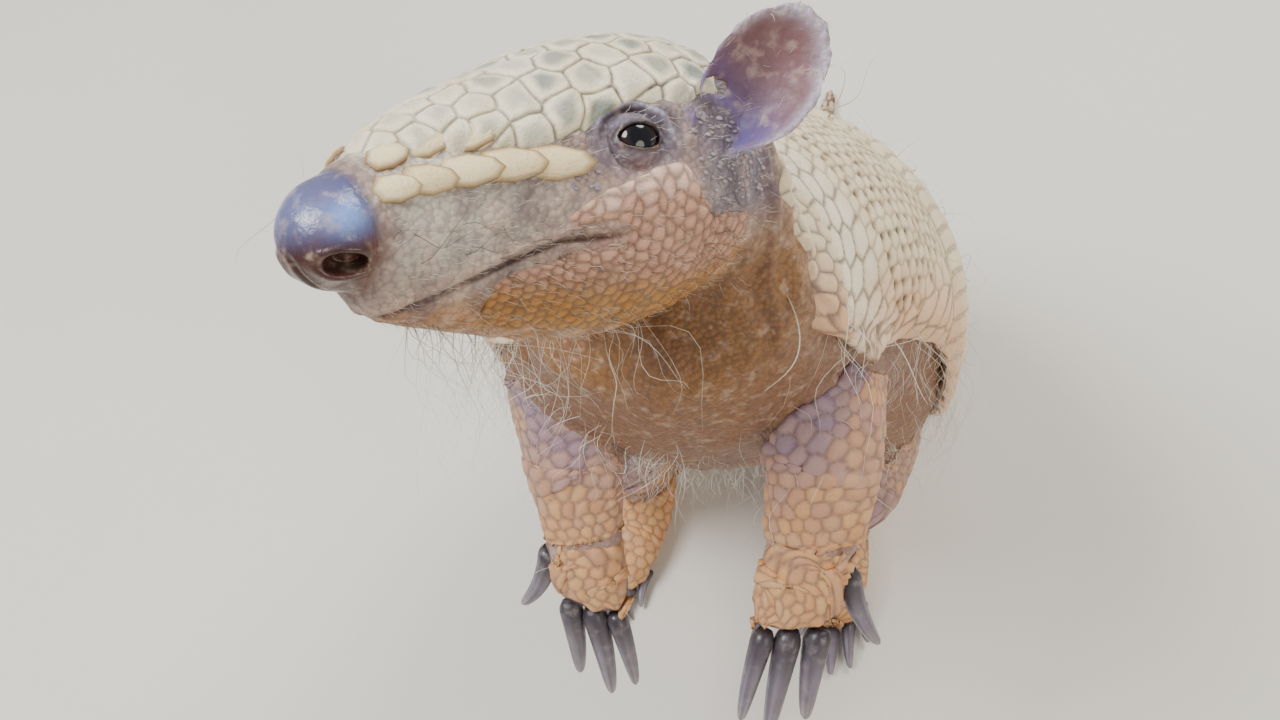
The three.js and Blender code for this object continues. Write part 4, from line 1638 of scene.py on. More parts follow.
    def refine(self, skin: Piece) -> None:
        """Halves the faces at the lids twice, and at the nostrils and the lips once.

        Args:
            skin: The skin.
        """
        for eye_reach, other in ((10.5, True), (9.0, False)):
            points = points_of(skin)
            local = HEAD.local(points)
            chosen = np.zeros(len(points), bool)
            for site in self.sites:
                chosen |= np.linalg.norm(points - site.middle, axis=1) < eye_reach * MM
            if other:
                chosen |= (np.abs(self.lip_gap(local)) < 3.0) & (local[:, 1] < -30)
                chosen |= local[:, 1] < -96
            select_points(skin, chosen)
            with editing(skin):
                bpy.ops.mesh.subdivide(number_cuts=1, smoothness=0.0)
                bpy.ops.mesh.quads_convert_to_tris()
        modify(skin, "SMOOTH", factor=0.4, iterations=2)

    def lip_gap(self, local: Array) -> Array:
        """How far above the line of the mouth each place is, in millimetres."""
        along, level = np.array(self.lips).T
        return (local[:, 2] - np.interp(local[:, 1], along, level)) * 0.97

    def shape(self, skin: Piece) -> None:
        """Models the lids, the mouth, the nose and the folds.

        Args:
            skin: The skin.
        """
        points, out = points_of(skin), normals_of(skin)
        local = HEAD.local(points)
        depth = np.zeros(len(points))
        gap = self.lip_gap(local)
        mouth = ramp(local[:, 1], -31, -37) * (np.abs(local[:, 0]) > 2.0)
        depth -= mouth * (1.1 * bell(gap, 0, 0.6) - 0.5 * bell(gap, 2.3, 1.4) - 0.35 * bell(gap, -2.2, 1.3))
        pad = bell(local[:, 1], -28, 10) * bell(local[:, 2], -1.5, 5.5)
        depth += 1.1 * pad * (np.abs(local[:, 0]) > 12)
        face = ramp(local[:, 1], 34, 20) * ramp(local[:, 2], -62, -50)
        depth += face * 0.22 * ripple(local, 7.5, 21) * ramp(local[:, 1], -92, -84)
        nose = ramp(local[:, 1], -90, -95)
        depth -= nose * 0.8 * bell(local[:, 0], 0, 0.9) * ramp(local[:, 2], -2, -6)
        depth -= 0.7 * bell(local[:, 1], -93.0, 1.0) * ramp(np.abs(local[:, 2] + 2), 16, 10)
        neck = ramp(local[:, 1], 8, 16) * ramp(local[:, 1], 62, 46)
        crease = np.sin((local[:, 1] + 0.25 * local[:, 2] + 2 * ripple(local, 30, 5)) * 2 * np.pi / 7.0)
        depth += neck * 0.75 * crease
        depth += (1 - face) * 0.35 * ripple(points / MM, 13.0, 6)
        points = points + out * depth[:, None] * MM
        points = self.nostrils(points, local)
        for site in self.sites:
            points = self.lids(points, site)
        above_floor(points)
        put_points(skin, points)

    def nostrils(self, points: Array, local: Array) -> Array:
        """Sinks the nostrils, with a raised wing round each.

        Args:
            points: The skin's points, in metres.
            local: The same in the head's frame.

        Returns:
            The moved points.
        """
        for _, sign in SIDES:
            hole = np.array(self.nostril) * (sign, 1, 1)
            axis = unit(np.array([0.72 * sign, -0.66, -0.2]))
            gap = local - hole
            deep = gap @ axis
            flat = gap - deep[:, None] * axis
            wide = np.hypot(flat[:, 0] / 1.0, flat[:, 2] / 0.82)
            near = ramp(np.abs(deep), 8, 5)
            beside = sign * flat[:, 0]
            slit = bell(flat[:, 2] + 1.6, 0, 0.9) * ramp(beside, 0.5, 2.0) * ramp(beside, 7.5, 5)
            push = -5.5 * ramp(wide, 3.4, 1.7) + 0.75 * bell(wide, 4.3, 1.1) - 1.1 * slit
            points = points + HEAD.turned(axis) * (push * near)[:, None] * MM
        return points

    def lids(self, points: Array, site: EyeSite) -> Array:
        """Draws the lids over one eye and opens the slit, with folds round it.

        Args:
            points: The skin's points, in metres.
            site: The eye's site.

        Returns:
            The moved points.
        """
        u, v, w = site.seen(points)
        ring = np.hypot(u, v)
        here = (np.abs(w) < 13) & (ring < 16)
        slit = np.hypot(u / self.slit[0], v / self.slit[1])
        over = self.ball + self.lid
        cap = np.sqrt(np.clip(over**2 - ring**2, 1.0, None))
        share = ramp(ring, 8.2, 5.6)
        level = blend(w, cap, share)
        level += 0.45 * bell(slit, 1.16, 0.13) * (v > -9)
        fold = np.hypot(u / 1.2, v)
        above = ramp(v, -1.5, 2.0)
        level -= 0.9 * bell(fold, 7.0, 0.75) * (0.25 + 0.75 * above)
        level += 0.60 * bell(fold, 8.7, 0.9) * (0.15 + 0.85 * above)
        level -= 0.5 * bell(fold, 10.3, 0.7) * above
        level -= 0.45 * bell(fold, 5.2, 0.4) * above
        rays = np.cos(np.arctan2(v, -u) * 9) * ramp(fold, 5.5, 8) * ramp(fold, 14, 11) * ramp(-u, 1, 4)
        level += 0.28 * rays
        under = np.sqrt(np.clip(self.ball**2 - ring**2, 0.5, None)) - 1.3
        inside = ramp(slit, 1.04, 0.90)
        level = blend(level, np.minimum(under, level), inside)
        shift = np.where(here, level - w, 0.0)
        return points + site.out * shift[:, None] * MM

    def regions(self) -> dict[str, Array]:
        """Shares of the kinds of skin at each point, by the solid that is nearest."""
        kinds = np.array([name.split("_")[0] for name in self.names])[self.owners]
        return {kind: (kinds == kind).astype(float) for kind, _ in self.skin_tones}

    def colour(self, skin: Piece) -> None:
        """Paints the skin, with painted shade, highlights and bounced light in places, and says where it is
        moist and where it is pebbled.

        Args:
            skin: The skin.
        """
        points, out = points_of(skin), normals_of(skin)
        local = HEAD.local(points)
        x, y, z = local.T
        shares = self.regions()
        stack = np.stack([shares[kind] for kind, _ in self.skin_tones], axis=1)
        stack = neighbour_mean(skin, stack, 8)
        tones = np.array([linear(code) for _, code in self.skin_tones])
        paint = Paint(len(points), "a78d80")
        paint.colour = stack @ tones / stack.sum(axis=1, keepdims=True)
        face = shares["head"] * ramp(y, -90, -87)
        paint.wash("9c9185", face * ramp(y, -42, -58) * ramp(z, -16, -6))
        paint.wash("dcd3c0", face * ramp(y, -60, -72) * ramp(z, 2, 9))
        paint.wash("cfc6b6", face * ramp(y, -56, -80) * bell(z, -2, 9) * 0.65)
        paint.wash("b8745a", face * bell(y, -24, 22) * ramp(z, -6, -14) * 0.7)
        paint.wash("77707c", face * ramp(y, -17, -9) * ramp(z, -18, -8))
        # Ochre on the lower jaw: partly the skin's own colour, partly painted warm light bounced up from
        # below.
        paint.wash("9c620f", face * ramp(z, -15, -25) * 0.9)
        lump = ripple(local, 9, 33)
        paint.wash("b98a4c", face * ramp(z, -17, -24) * 0.5 * ramp(lump, -1, 1))
        paint.wash("dcc0aa", face * 0.40 * ramp(lump, 0.2, 1.4))
        paint.wash("57484c", face * 0.5 * ramp(lump, -0.2, -1.3))
        gap = self.lip_gap(local)
        mouth = ramp(y, -30, -38) * shares["head"]
        paint.wash("3f2a26", mouth * bell(gap, -0.1, 0.7) * (0.35 + 0.45 * ramp(y, -84, -60)))
        paint.wash("c79d86", mouth * bell(gap, 2.6, 1.2) * 0.35)
        nose = neighbour_mean(skin, (shares["nose"] > 0).astype(float), 3) * ramp(y, -89, -94)
        paint.wash("35140c", nose)
        # Painted reflection: a bluish-violet sheen over the nose's upper half and a pale blue highlight on
        # its top stand in for a cool light mirrored in the wet nose.
        paint.wash("5c5f86", nose * ramp(z, -4, 4) * 0.75)
        paint.wash("7d9fe0", nose * bell(z, 4.5, 3.6) * bell(y, -99, 5) * 0.8)
        paint.wash("6a3010", nose * ramp(y, -98, -93) * ramp(z, 2, -6) * 0.5)
        # Painted shade: near-black in and round each nostril, reaching past the hole itself.
        for _, sign in SIDES:
            hole = np.array(self.nostril) * (sign, 1, 1)
            off = np.linalg.norm((local - hole) / (1.3, 1.6, 1.0), axis=1)
            paint.wash("2c0d08", ramp(off, 6.0, 2.4) * 0.95)
        wet = 0.9 * nose
        for site in self.sites:
            u, v, w = site.seen(points)
            near = (np.abs(w) < 13).astype(float)
            ring = np.hypot(u / 1.2, v)
            slit = np.hypot(u / self.slit[0], v / self.slit[1])
            paint.wash("5f5a6e", near * ramp(ring, 12.5, 8.5) * 0.85)
            # Painted light on the upper lid's folds: a pale highlight along the raised crest, and painted
            # shade in the two creases beside it.
            paint.wash("a9a4b4", near * 0.5 * bell(ring, 8.7, 0.8) * ramp(v, -1, 2))
            paint.wash("332b38", near * 0.7 * (bell(ring, 7.0, 0.7) + bell(ring, 10.3, 0.6)) * ramp(v, -2, 2))
            paint.wash("1d1519", near * ramp(slit, 1.5, 1.08))
            wet = np.maximum(wet, near * 0.8 * ramp(slit, 1.35, 1.0))
        paint.wash("e0b9a6", shares["head"] * bell(y, -28, 11) * bell(z, -1.5, 5.0) * 0.7 * (np.abs(x) > 12))
        ear = neighbour_mean(skin, shares["ear"], 2)
        grain = np.zeros(len(points))
        for side, sign in SIDES:
            flap = solid_points(f"ear_{side}")
            middle = flap.mean(axis=0)
            axes = np.linalg.svd(flap - middle, full_matrices=False)[2]
            axes[0] *= np.sign(axes[0] @ HEAD.axes[2])
            place = (points - middle) @ axes.T
            reach = np.abs((flap - middle) @ axes.T).max(axis=0)
            own = ear * (np.sign(local[:, 0]) == sign)
            rim = ramp(np.hypot(*(place[:, :2] / reach[:2]).T), 0.76, 0.95)
            up = ramp(place[:, 0] / reach[0], -0.35, 0.5)
            inner = ramp(out @ HEAD.turned(np.array([sign * 0.5, -0.85, 0])), -0.2, 0.3)
            paint.wash("524a86", own * inner * (1 - up) * 0.9)
            paint.wash("704a4c", own * inner * up * 0.9)
            paint.wash("c3bdcb", own * rim * 0.9)
            grain = np.maximum(grain, own * rim)
        # Dark ochre on the throat, deeper lower down: painted shade and painted warm bounced light over the
        # skin's own ochre.
        throat = shares["neck"] * ramp(z, -14, -34)
        paint.wash("80521b", throat * 0.85)
        # Painted shade: dark violet on the neck behind the jaw and the ear.
        paint.wash("4a4260", shares["neck"] * bell(y, 16, 9) * ramp(z, -26, -8) * 0.8)
        paint.wash("b0a77c", shares["neck"] * bell(y, 26, 5) * ramp(z, -12, 0) * 0.7)
        limb = shares["foreleg"] + shares["hindleg"]
        paint.wash("8f7885", limb * 0.5 * ramp(ripple(points / MM, 16, 42), -0.2, 1.2))
        paint.wash("8a6430", limb * ramp(points[:, 2], 0.15, 0.21) * 0.5)
        # Painted shade: the trunk's skin turns dark brown towards the underside, on the chest and belly.
        belly = shares["trunk"] * ramp(TRUNK.local(points)[:, 2], 0, -30)
        paint.wash("74430e", belly * 0.8)
        for name in CLAWS:
            claw = solid_points(name)
            foot = "forefoot" if name.startswith("fore") else "hindfoot"
            centre = points[shares[foot] > 0.5].mean(axis=0)
            root = nearest_end(claw, centre)
            paint.wash("3a3036", shares[foot] * ramp(np.linalg.norm(points - root, axis=1), 9.5 * MM, 5 * MM))
        put_tint(skin, neighbour_mean(skin, paint.colour, 1))
        put_channel(skin, "wet", wet)
        rough = 0.85 - 0.75 * nose - 0.7 * ear + 0.7 * grain - 0.45 * shares["foreleg"]
        rough = np.minimum(rough, 1 - wet)
        put_channel(skin, "pebble", np.clip(rough, 0, 1))


# ---- Eyes ----


@dataclass(frozen=True)
class EyeFinish:
    """Dark brown eye under a clear wet front."""

    name: str = "eye_dark"

    def make(self) -> bpy.types.Material:
        """Builds the material."""
        sheet = NodeSheet(self.name)
        ring = sheet.number("ring")
        iris = sheet.mixed("22130f", "120c10", sheet.spread(ring, (0.36, 0.44), (1.0, 0.0)))
        iris = sheet.clouded(iris, "3c2a30", (2200.0, 3.0), (0.4, 0.7), 0.3)
        pupil = sheet.spread(ring, (0.30, 0.36), (1.0, 0.0))
        base = sheet.mixed(iris, "050406", pupil)
        edge = sheet.spread(ring, (0.62, 0.75), (0.0, 1.0))
        base = sheet.mixed(base, "1c161b", edge)
        sheet.shade(Base_Color=base, Roughness=0.10, Specular_IOR_Level=0.5)
        return sheet.material


@dataclass
class Eyes:
    """Two dark eyes, each a ball with a slightly swollen clear front."""

    ball: float = 6.05
    front: float = 0.35

    def build(self, sites: Sequence[EyeSite]) -> list[Piece]:
        """Makes both eyes."""
        finish = EyeFinish().make()
        return [self.eye(site, finish) for site in sites]

    def eye(self, site: EyeSite, finish: bpy.types.Material) -> Piece:
        """Makes one eye.

        Args:
            site: Where it sits.
            finish: Its material.

        Returns:
            The finished piece.
        """
        bpy.ops.mesh.primitive_uv_sphere_add(segments=64, ring_count=40, radius=self.ball * MM)
        piece = newest(f"eyeball_{site.side}")
        ball = points_of(piece)
        tilt = np.arccos(np.clip(ball[:, 2] / (self.ball * MM), -1, 1)) / (np.pi / 2)
        ball *= 1 + (self.front / self.ball) * ramp(tilt, 0.62, 0.35)[:, None]
        axes = np.stack([site.along, np.cross(site.out, site.along), site.out])
        put_points(piece, site.middle + ball @ axes)
        put_channel(piece, "ring", tilt)
        return present(piece, Slot.EYE, finish, [f"eye_{site.side}"])


# ---- Claws ----


@dataclass(frozen=True)
class HornFinish:
    """Claw horn: slate at the root, lighter towards the tip, with long fine ridges."""

    name: str = "claw_horn"

    def make(self) -> bpy.types.Material:
        """Builds the material."""
        sheet = NodeSheet(self.name)
        base = sheet.colour("tint")
        streak = sheet.number("streak")
        stripe = sheet.spread(streak, (0.2, 0.8), (0.0, 0.5))
        base = sheet.mixed(base, "2f292c", stripe)
        base = sheet.clouded(base, "a59a94", (240.0, 6.0), (0.5, 0.8), 0.35)
        rough = sheet.spread(sheet.noise(300.0, 4.0), (0.3, 0.7), (0.28, 0.52))
        normal = sheet.bumped((streak, 0.15), (sheet.noise(900.0, 4.0), 0.12))
        sheet.shade(Base_Color=base, Roughness=rough, Normal=normal, Specular_IOR_Level=0.5)
        return sheet.material


@dataclass
class Claws:
    """The twenty claws, each fitted to its solid's own middle line, width and depth."""

    rings: int = 26
    corners: int = 20

    def build(self) -> list[Piece]:
        """Makes every claw."""
        finish = HornFinish().make()
        return [self.claw(name, finish) for name in CLAWS]

    def claw(self, name: str, finish: bpy.types.Material) -> Piece:
        """Makes one claw.

        Args:
            name: The solid that it stands for.
            finish: Its material.

        Returns:
            The finished piece.
        """
        solid = solid_points(name)
        solid = np.unique(solid.round(6), axis=0)
        foot = solid_points(name.rsplit("_", 1)[0].replace("claw", "foot")).mean(axis=0)
        axis = np.linalg.svd(solid - solid.mean(axis=0), full_matrices=False)[2][0]
        axis *= np.sign(axis @ (solid.mean(axis=0) - foot))
        along = (solid - solid.mean(axis=0)) @ axis
        share = (along - along.min()) / (along.max() - along.min())
        side = unit(np.cross(axis, (0, 0, 1.0)))
        lift = np.cross(side, axis)
        curve = np.polyfit(share, solid, 2)
        root = share < 0.45
        thick = solid[root] - stacked(*(np.polyval(line, share[root]) for line in curve.T))
        wide, tall = (1.08 * np.abs(thick @ way).max() for way in (side, lift))
        bpy.ops.mesh.primitive_cylinder_add(vertices=self.corners, radius=1, depth=1, end_fill_type="TRIFAN")
        piece = newest(f"{name}_horn")
        self.ring(piece)
        raw = points_of(piece)
        t = np.clip(raw[:, 2] + 0.5, 0, 1)
        turn = np.arctan2(raw[:, 1], raw[:, 0])
        radial = np.hypot(raw[:, 0], raw[:, 1])
        centre = stacked(*(np.polyval(line, t) for line in curve.T))
        blunt = np.clip(1.006 - t, 0, 1) ** 0.30 * (1 - 0.16 * t) * ramp(t, -0.16, 0.12)
        width, height = 1.24 * wide * blunt, 1.12 * tall * blunt
        keel = 1 - 0.30 * np.clip(-np.sin(turn), 0, 1) ** 2
        groove = 1 + 0.02 * np.sin(turn * 9) * (1 - t)
        spread = radial * keel * groove
        points = centre + side * (np.cos(turn) * width * spread)[:, None]
        points += lift * (np.sin(turn) * height * spread)[:, None]
        above_floor(points)
        put_points(piece, points)
        edit(piece, lambda: bpy.ops.mesh.normals_make_consistent(inside=False))
        paint = Paint(len(points), "4d454c")
        paint.wash("776e78", ramp(t, 0.15, 0.55))
        paint.wash("9c9292", ramp(t, 0.65, 1.0) * 0.7)
        paint.wash("2c2429", ramp(t, 0.18, 0.0) * 0.8)
        put_tint(piece, paint.colour)
        draw = np.random.default_rng(len(name) + ord(name[-1]))
        phase = draw.uniform(0, 6, 3)
        lines = sum(np.sin(turn * (7 + 4 * k) + phase[k] + 1.2 * t) for k in range(3)) / 3
        put_channel(piece, "streak", 0.5 + 0.5 * lines)
        return present(piece, Slot.CLAW, finish, [name], angle=60)

    def ring(self, piece: Piece) -> None:
        """Cuts the claw's side into rings.

        Args:
            piece: The claw.
        """
        with editing(piece):
            mesh = bmesh.from_edit_mesh(piece.data)
            upright = [e for e in mesh.edges if abs(e.verts[0].co.z - e.verts[1].co.z) > 0.5]
            bmesh.ops.subdivide_edges(mesh, edges=upright, cuts=self.rings, use_grid_fill=True)
            bmesh.update_edit_mesh(piece.data)


# ---- Coat: small scales and hairs over the skin ----


class HideAtlas:
    """An unwrap of the skin's own shape: each solid has a cell, rolled out round its long axis."""

    COLUMNS = 8

    def __init__(self, names: Sequence[str]) -> None:
        """Finds each solid's axis.

        Args:
            names: The solids under the skin.
        """
        self.solids = Solids([NODES[name] for name in names])
        self.names = list(names)
        self.rolls = []
        for name in names:
            points = solid_points(name)
            middle = points.mean(axis=0)
            axes = np.linalg.svd(points - middle, full_matrices=False)[2]
            along = (points - middle) @ axes[0]
            self.rolls.append((middle, axes, along.min(), np.ptp(along)))

    def place(self, points: Array, owners: Array) -> Array:
        """Where each place lies on the unwrap.

        Args:
            points: The places, in metres.
            owners: The number of the solid nearest to each.

        Returns:
            Places on the unwrap, from 0 to 1.
        """
        spots = np.zeros((len(points), 2))
        for k, (middle, axes, low, span) in enumerate(self.rolls):
            own = owners == k
            if own.any():
                along, one, two = ((points[own] - middle) @ axes.T).T
                turn = np.arctan2(two, one) / (2 * np.pi) + 0.5
                cell = np.array([k % self.COLUMNS, k // self.COLUMNS])
                inner = stacked(turn, np.clip((along - low) / span, 0, 1))
                spots[own] = (cell + 0.04 + 0.92 * inner) / self.COLUMNS
        return spots


@dataclass
class Bed:
    """Places for copies: their roots in metres, the ways they face and lie, and sizes in millimetres."""

    root: Array
    out: Array
    along: Array
    size: Array
    tone: Array

    def kept(self, mask: Array) -> "Bed":
        """The places that a mask keeps."""
        return Bed(self.root[mask], self.out[mask], self.along[mask], self.size[mask], self.tone[mask])

    @staticmethod
    def merged(beds: Sequence["Bed"]) -> "Bed":
        """Several beds as one."""
        names = ("root", "out", "along", "size", "tone")
        return Bed(*(np.concatenate([getattr(bed, name) for bed in beds]) for name in names))


def flattened(along: Array, out: Array) -> Array:
    """One direction or several, laid flat on surfaces that face the given ways."""
    return unit(along - out * np.sum(along * out, axis=1, keepdims=True))


@dataclass(frozen=True)
class ScaleKind:
    """The look of one kind of small scale."""

    name: str
    crown: str
    second: str
    rim: str
    tilt: float = 6.0
    sink: float = 0.35
    square: float = 3.2
    taper: float = 0.0


class Template:
    """One modelled scale, whose points and faces are copied."""

    def __init__(self, corners: int = 8) -> None:
        """Models the scale: a low drum whose top is drawn in and raised.

        Args:
            corners: How many sides the drum has.
        """
        bpy.ops.mesh.primitive_cylinder_add(vertices=corners, radius=0.5, depth=1.0)
        piece = newest("scale_template")
        with editing(piece):
            mesh = bmesh.from_edit_mesh(piece.data)
            bpy.ops.mesh.select_all(action="DESELECT")
            for face in mesh.faces:
                face.select_set(face.normal.z > 0.9)
            bmesh.update_edit_mesh(piece.data)
            bpy.ops.mesh.inset(thickness=0.13, depth=0.3)
            bpy.ops.mesh.poke()
            bpy.ops.mesh.select_all(action="SELECT")
            bpy.ops.mesh.quads_convert_to_tris()
        self.points = points_of(piece)
        self.faces = np.array([list(face.vertices) for face in piece.data.polygons])
        radial = np.hypot(self.points[:, 0], self.points[:, 1])
        self.edge = ramp(radial, 0.34, 0.52)
        top = np.interp(radial, (0, 0.37, 0.5), (1, 0.82, 0.1))
        self.points[:, 2] = np.where(self.points[:, 2] < 0, -0.6, top)
        bpy.data.objects.remove(piece)


@dataclass
class Coat:
    """Makes the pieces that are copied many times over the skin.

    A copy's patch is its width on the unwrap. Hair keeps within a share of the solids' box and a
    distance in metres past it.
    """

    hide: Hide
    atlas: HideAtlas
    skin: Solids
    template: Template
    patch: float = 0.003
    past: tuple[float, float] = (0.025, 0.009)

    def lies_on(self, points: Array, *starts: str) -> Array:
        """Which places are nearest to a solid whose name begins in one of these ways."""
        fits = np.array([name.startswith(starts) for name in self.atlas.names])
        return fits[self.atlas.solids.settle(points)[2]]

    def bake_map(self, piece: Piece, roots: Array, inner: Array, faces: Array) -> None:
        """Gives each copy its patch on the unwrap.

        Args:
            piece: The piece of many copies.
            roots: Where each copy is rooted, in metres.
            inner: Where each point of one copy lies on its patch.
            faces: The piece's faces.
        """
        spots = self.atlas.place(roots, self.atlas.solids.settle(roots)[2])
        layer = piece.data.uv_layers.new(name="OFBake")
        place = (spots[:, None] + inner[None] * self.patch).reshape(-1, 2)
        layer.data.foreach_set("uv", np.ascontiguousarray(place[faces.ravel()], np.float32).ravel())

    def scales(
        self, bed: Bed, kind: ScaleKind, finish: bpy.types.Material, slot: Slot, nodes: Sequence[str]
    ) -> Piece:
        """Makes one piece of many scales.

        Args:
            bed: Their places.
            kind: Their look.
            finish: Their material.
            slot: Their slot.
            nodes: The solids that they stand for.

        Returns:
            The finished piece.
        """
        base = self.template.points
        turn = np.arctan2(base[:, 1], base[:, 0])
        radial = np.hypot(base[:, 0], base[:, 1])
        power = kind.square
        round_off = (np.abs(np.cos(turn)) ** power + np.abs(np.sin(turn)) ** power) ** (-1 / power)
        x, y = radial * round_off * np.cos(turn), radial * round_off * np.sin(turn)
        y = y * (1 - kind.taper * (x + 0.5))
        tilt = math.tan(math.radians(kind.tilt))
        side = np.cross(bed.out, bed.along)
        length, width, height = (bed.size * MM).T
        points = bed.root[:, None] + bed.along[:, None] * (x * length[:, None])[..., None]
        points = points + side[:, None] * (y * width[:, None])[..., None]
        rise = base[:, 2] * height[:, None] / 2 + x * length[:, None] * tilt
        rise += height[:, None] * (0.5 - kind.sink)
        points = points + bed.out[:, None] * rise[..., None]
        count, each = len(bed.root), len(base)
        faces = (self.template.faces[None] + (np.arange(count) * each)[:, None, None]).reshape(-1, 3)
        points = points.reshape(-1, 3)
        above_floor(points)
        piece = mesh_from(kind.name, points, faces)
        colours = blend(linear(kind.crown), linear(kind.second), bed.tone[:, None])
        edge = self.template.edge[None, :, None]
        colours = blend(colours[:, None], linear(kind.rim), edge)
        put_tint(piece, colours.reshape(-1, 3))
        low = np.tile((base[:, 2] < 0).astype(float) * 0.6, count)
        put_channel(piece, "crack", low)
        self.bake_map(piece, bed.root, base[:, :2], faces)
        return present(piece, slot, finish, nodes)

    def strands(
        self, name: str, bed: Bed, finish: bpy.types.Material, droop: float, wave: float,
        nodes: Sequence[str], rings: int, seed: int,
    ) -> Piece:
        """Makes one piece of many hairs.

        Args:
            name: The piece's name.
            bed: Their roots; along is the way each starts, and size is length, root width, and sink.
            finish: Their material.
            droop: How far they sag, as a share of their length.
            wave: How far they wander, as a share of their length.
            nodes: The solids that they stand for.
            rings: How many rings of three corners each has.
            seed: Picks the bends.

        Returns:
            The finished piece.
        """
        draw = np.random.default_rng(seed)
        count = len(bed.root)
        share = np.linspace(0, 1, rings)
        one = unit(np.cross(bed.along, bed.out + 0.01))
        two = np.cross(bed.along, one)
        length = bed.size[:, 0, None] * MM
        centre = bed.root[:, None] + (bed.along[:, None] * (length * share)[..., None])
        sag = draw.uniform(0.3, 1.2, (count, 1)) * droop * length * share**2
        centre[..., 2] -= sag
        for way in (one, two):
            speed, phase = draw.uniform(3, 7, (count, 1)), draw.uniform(0, 6.28, (count, 1))
            bow = draw.normal(0, 1, (count, 1)) * share**2
            swing = wave * length * (0.45 * (np.sin(speed * share + phase) - np.sin(phase)) + 0.8 * bow)
            centre += way[:, None] * swing[..., None]
        sunk = bed.size[:, 2, None] * MM * (1 - share * (rings - 1)).clip(0)
        centre -= bed.out[:, None] * sunk[..., None]
        low, high = (np.array(corner) for corner in CAD_BOX)
        spare = (high - low) * self.past[0] + self.past[1]
        centre = np.clip(centre, low - spare, high + spare)
        above_floor(centre, 0.6 * MM)
        radius = bed.size[:, 1, None] * MM / 2 * np.sqrt(1 - share * 0.97)
        turns = np.arange(3) * 2 * np.pi / 3
        ring = one[:, None, None] * np.cos(turns)[:, None] + two[:, None, None] * np.sin(turns)[:, None]
        points = centre[:, :, None] + ring * radius[..., None, None]
        faces = []
        for k in range(rings - 1):
            for c in range(3):
                a, b = k * 3 + c, k * 3 + (c + 1) % 3
                faces += [(a, b, b + 3), (a, b + 3, a + 3)]
        faces += [(2, 1, 0), (rings * 3 - 3, rings * 3 - 2, rings * 3 - 1)]
        faces = (np.array(faces)[None] + (np.arange(count) * rings * 3)[:, None, None]).reshape(-1, 3)
        piece = mesh_from(name, points.reshape(-1, 3), faces)
        put_channel(piece, "run", np.tile(np.repeat(share, 3), count))
        put_channel(piece, "tone", np.repeat(bed.tone, rings * 3))
        inner = stacked(np.tile(turns / 6.3, rings) - 0.33, np.repeat(share, 3) - 0.5)
        self.bake_map(piece, bed.root, inner, faces)
        return present(piece, Slot.HIDE, finish, nodes)

    def settled(self, points: Array) -> tuple[Array, Array]:
        """The nearest places on the skin and its outward directions there."""
        places, normals, _ = self.skin.settle(points)
        return places, normals

    def cast(self, targets: Array, outward: Array, reach: float) -> tuple[Array, Array, Array]:
        """Rays from outside towards targets.

        Args:
            targets: Where the rays aim, in metres.
            outward: The ways to where they start.
            reach: How far off they start.

        Returns:
            The places met, the skin's outward directions there, and which rays met it.
        """
        hits = self.skin.inward(targets, outward, reach, 0.0)
        met = ~np.isnan(hits[:, 0])
        places = np.where(met[:, None], hits, targets)
        _, normals = self.settled(places)
        return places, normals, met

    def laid(
        self, grid: Grid, hub: Array, ways: Array, reach: float, kinds: tuple[str, ...], sigma: float = 2.0
    ) -> tuple[Array, Array]:
        """Lays a grid on the skin by rays towards places inside it.

        Args:
            grid: The grid.
            hub: Where each point's ray aims, in metres.
            ways: The outward way of each ray.
            reach: How far out the rays start, in metres.
            kinds: How the names of the solids begin that the grid may lie on.
            sigma: How far the reading is smoothed, in points.

        Returns:
            The points' distances from their hubs in millimetres, and a share that is 1 where the
            grid lies on those solids and 0 elsewhere.
        """
        hits = self.skin.inward(hub, ways, reach, 0.0)
        raw = np.linalg.norm(hits - hub, axis=1) / MM
        own = self.lies_on(np.nan_to_num(hits), *kinds) & ~np.isnan(raw)
        far = grid.smoothed(np.where(own, raw, np.nan), sigma)
        far = grid.smoothed(np.where(own, np.maximum(far, raw), far), 0.8) + 0.1
        mine = ramp(grid.smoothed(own.astype(float), 1.5), 0.15, 0.75)
        return far - 5 * (1 - mine), mine

    def face_bed(self, y: Array, z: Array, sign: float, size: Array, tone: Array, pitch: float = 0.0) -> Bed:
        """Places on one side of the head at these stations and levels.

        Args:
            y: The stations.
            z: The levels.
            sign: The side's sign.
            size: The sizes.
            tone: The tones.
            pitch: How far the copies point upwards, in degrees.

        Returns:
            Those that lie on the head.
        """
        targets = HEAD.world(stacked(0, y, z))
        ways = np.tile(HEAD.turned(np.array([sign, 0, 0.0])), (len(y), 1))
        places, out, met = self.cast(targets, ways, 0.07)
        lean = math.radians(pitch)
        back = HEAD.turned(np.array([0, math.cos(lean), math.sin(lean)]))
        along = flattened(back, out)
        return Bed(places, out, along, size, tone).kept(met & self.lies_on(places, "head"))


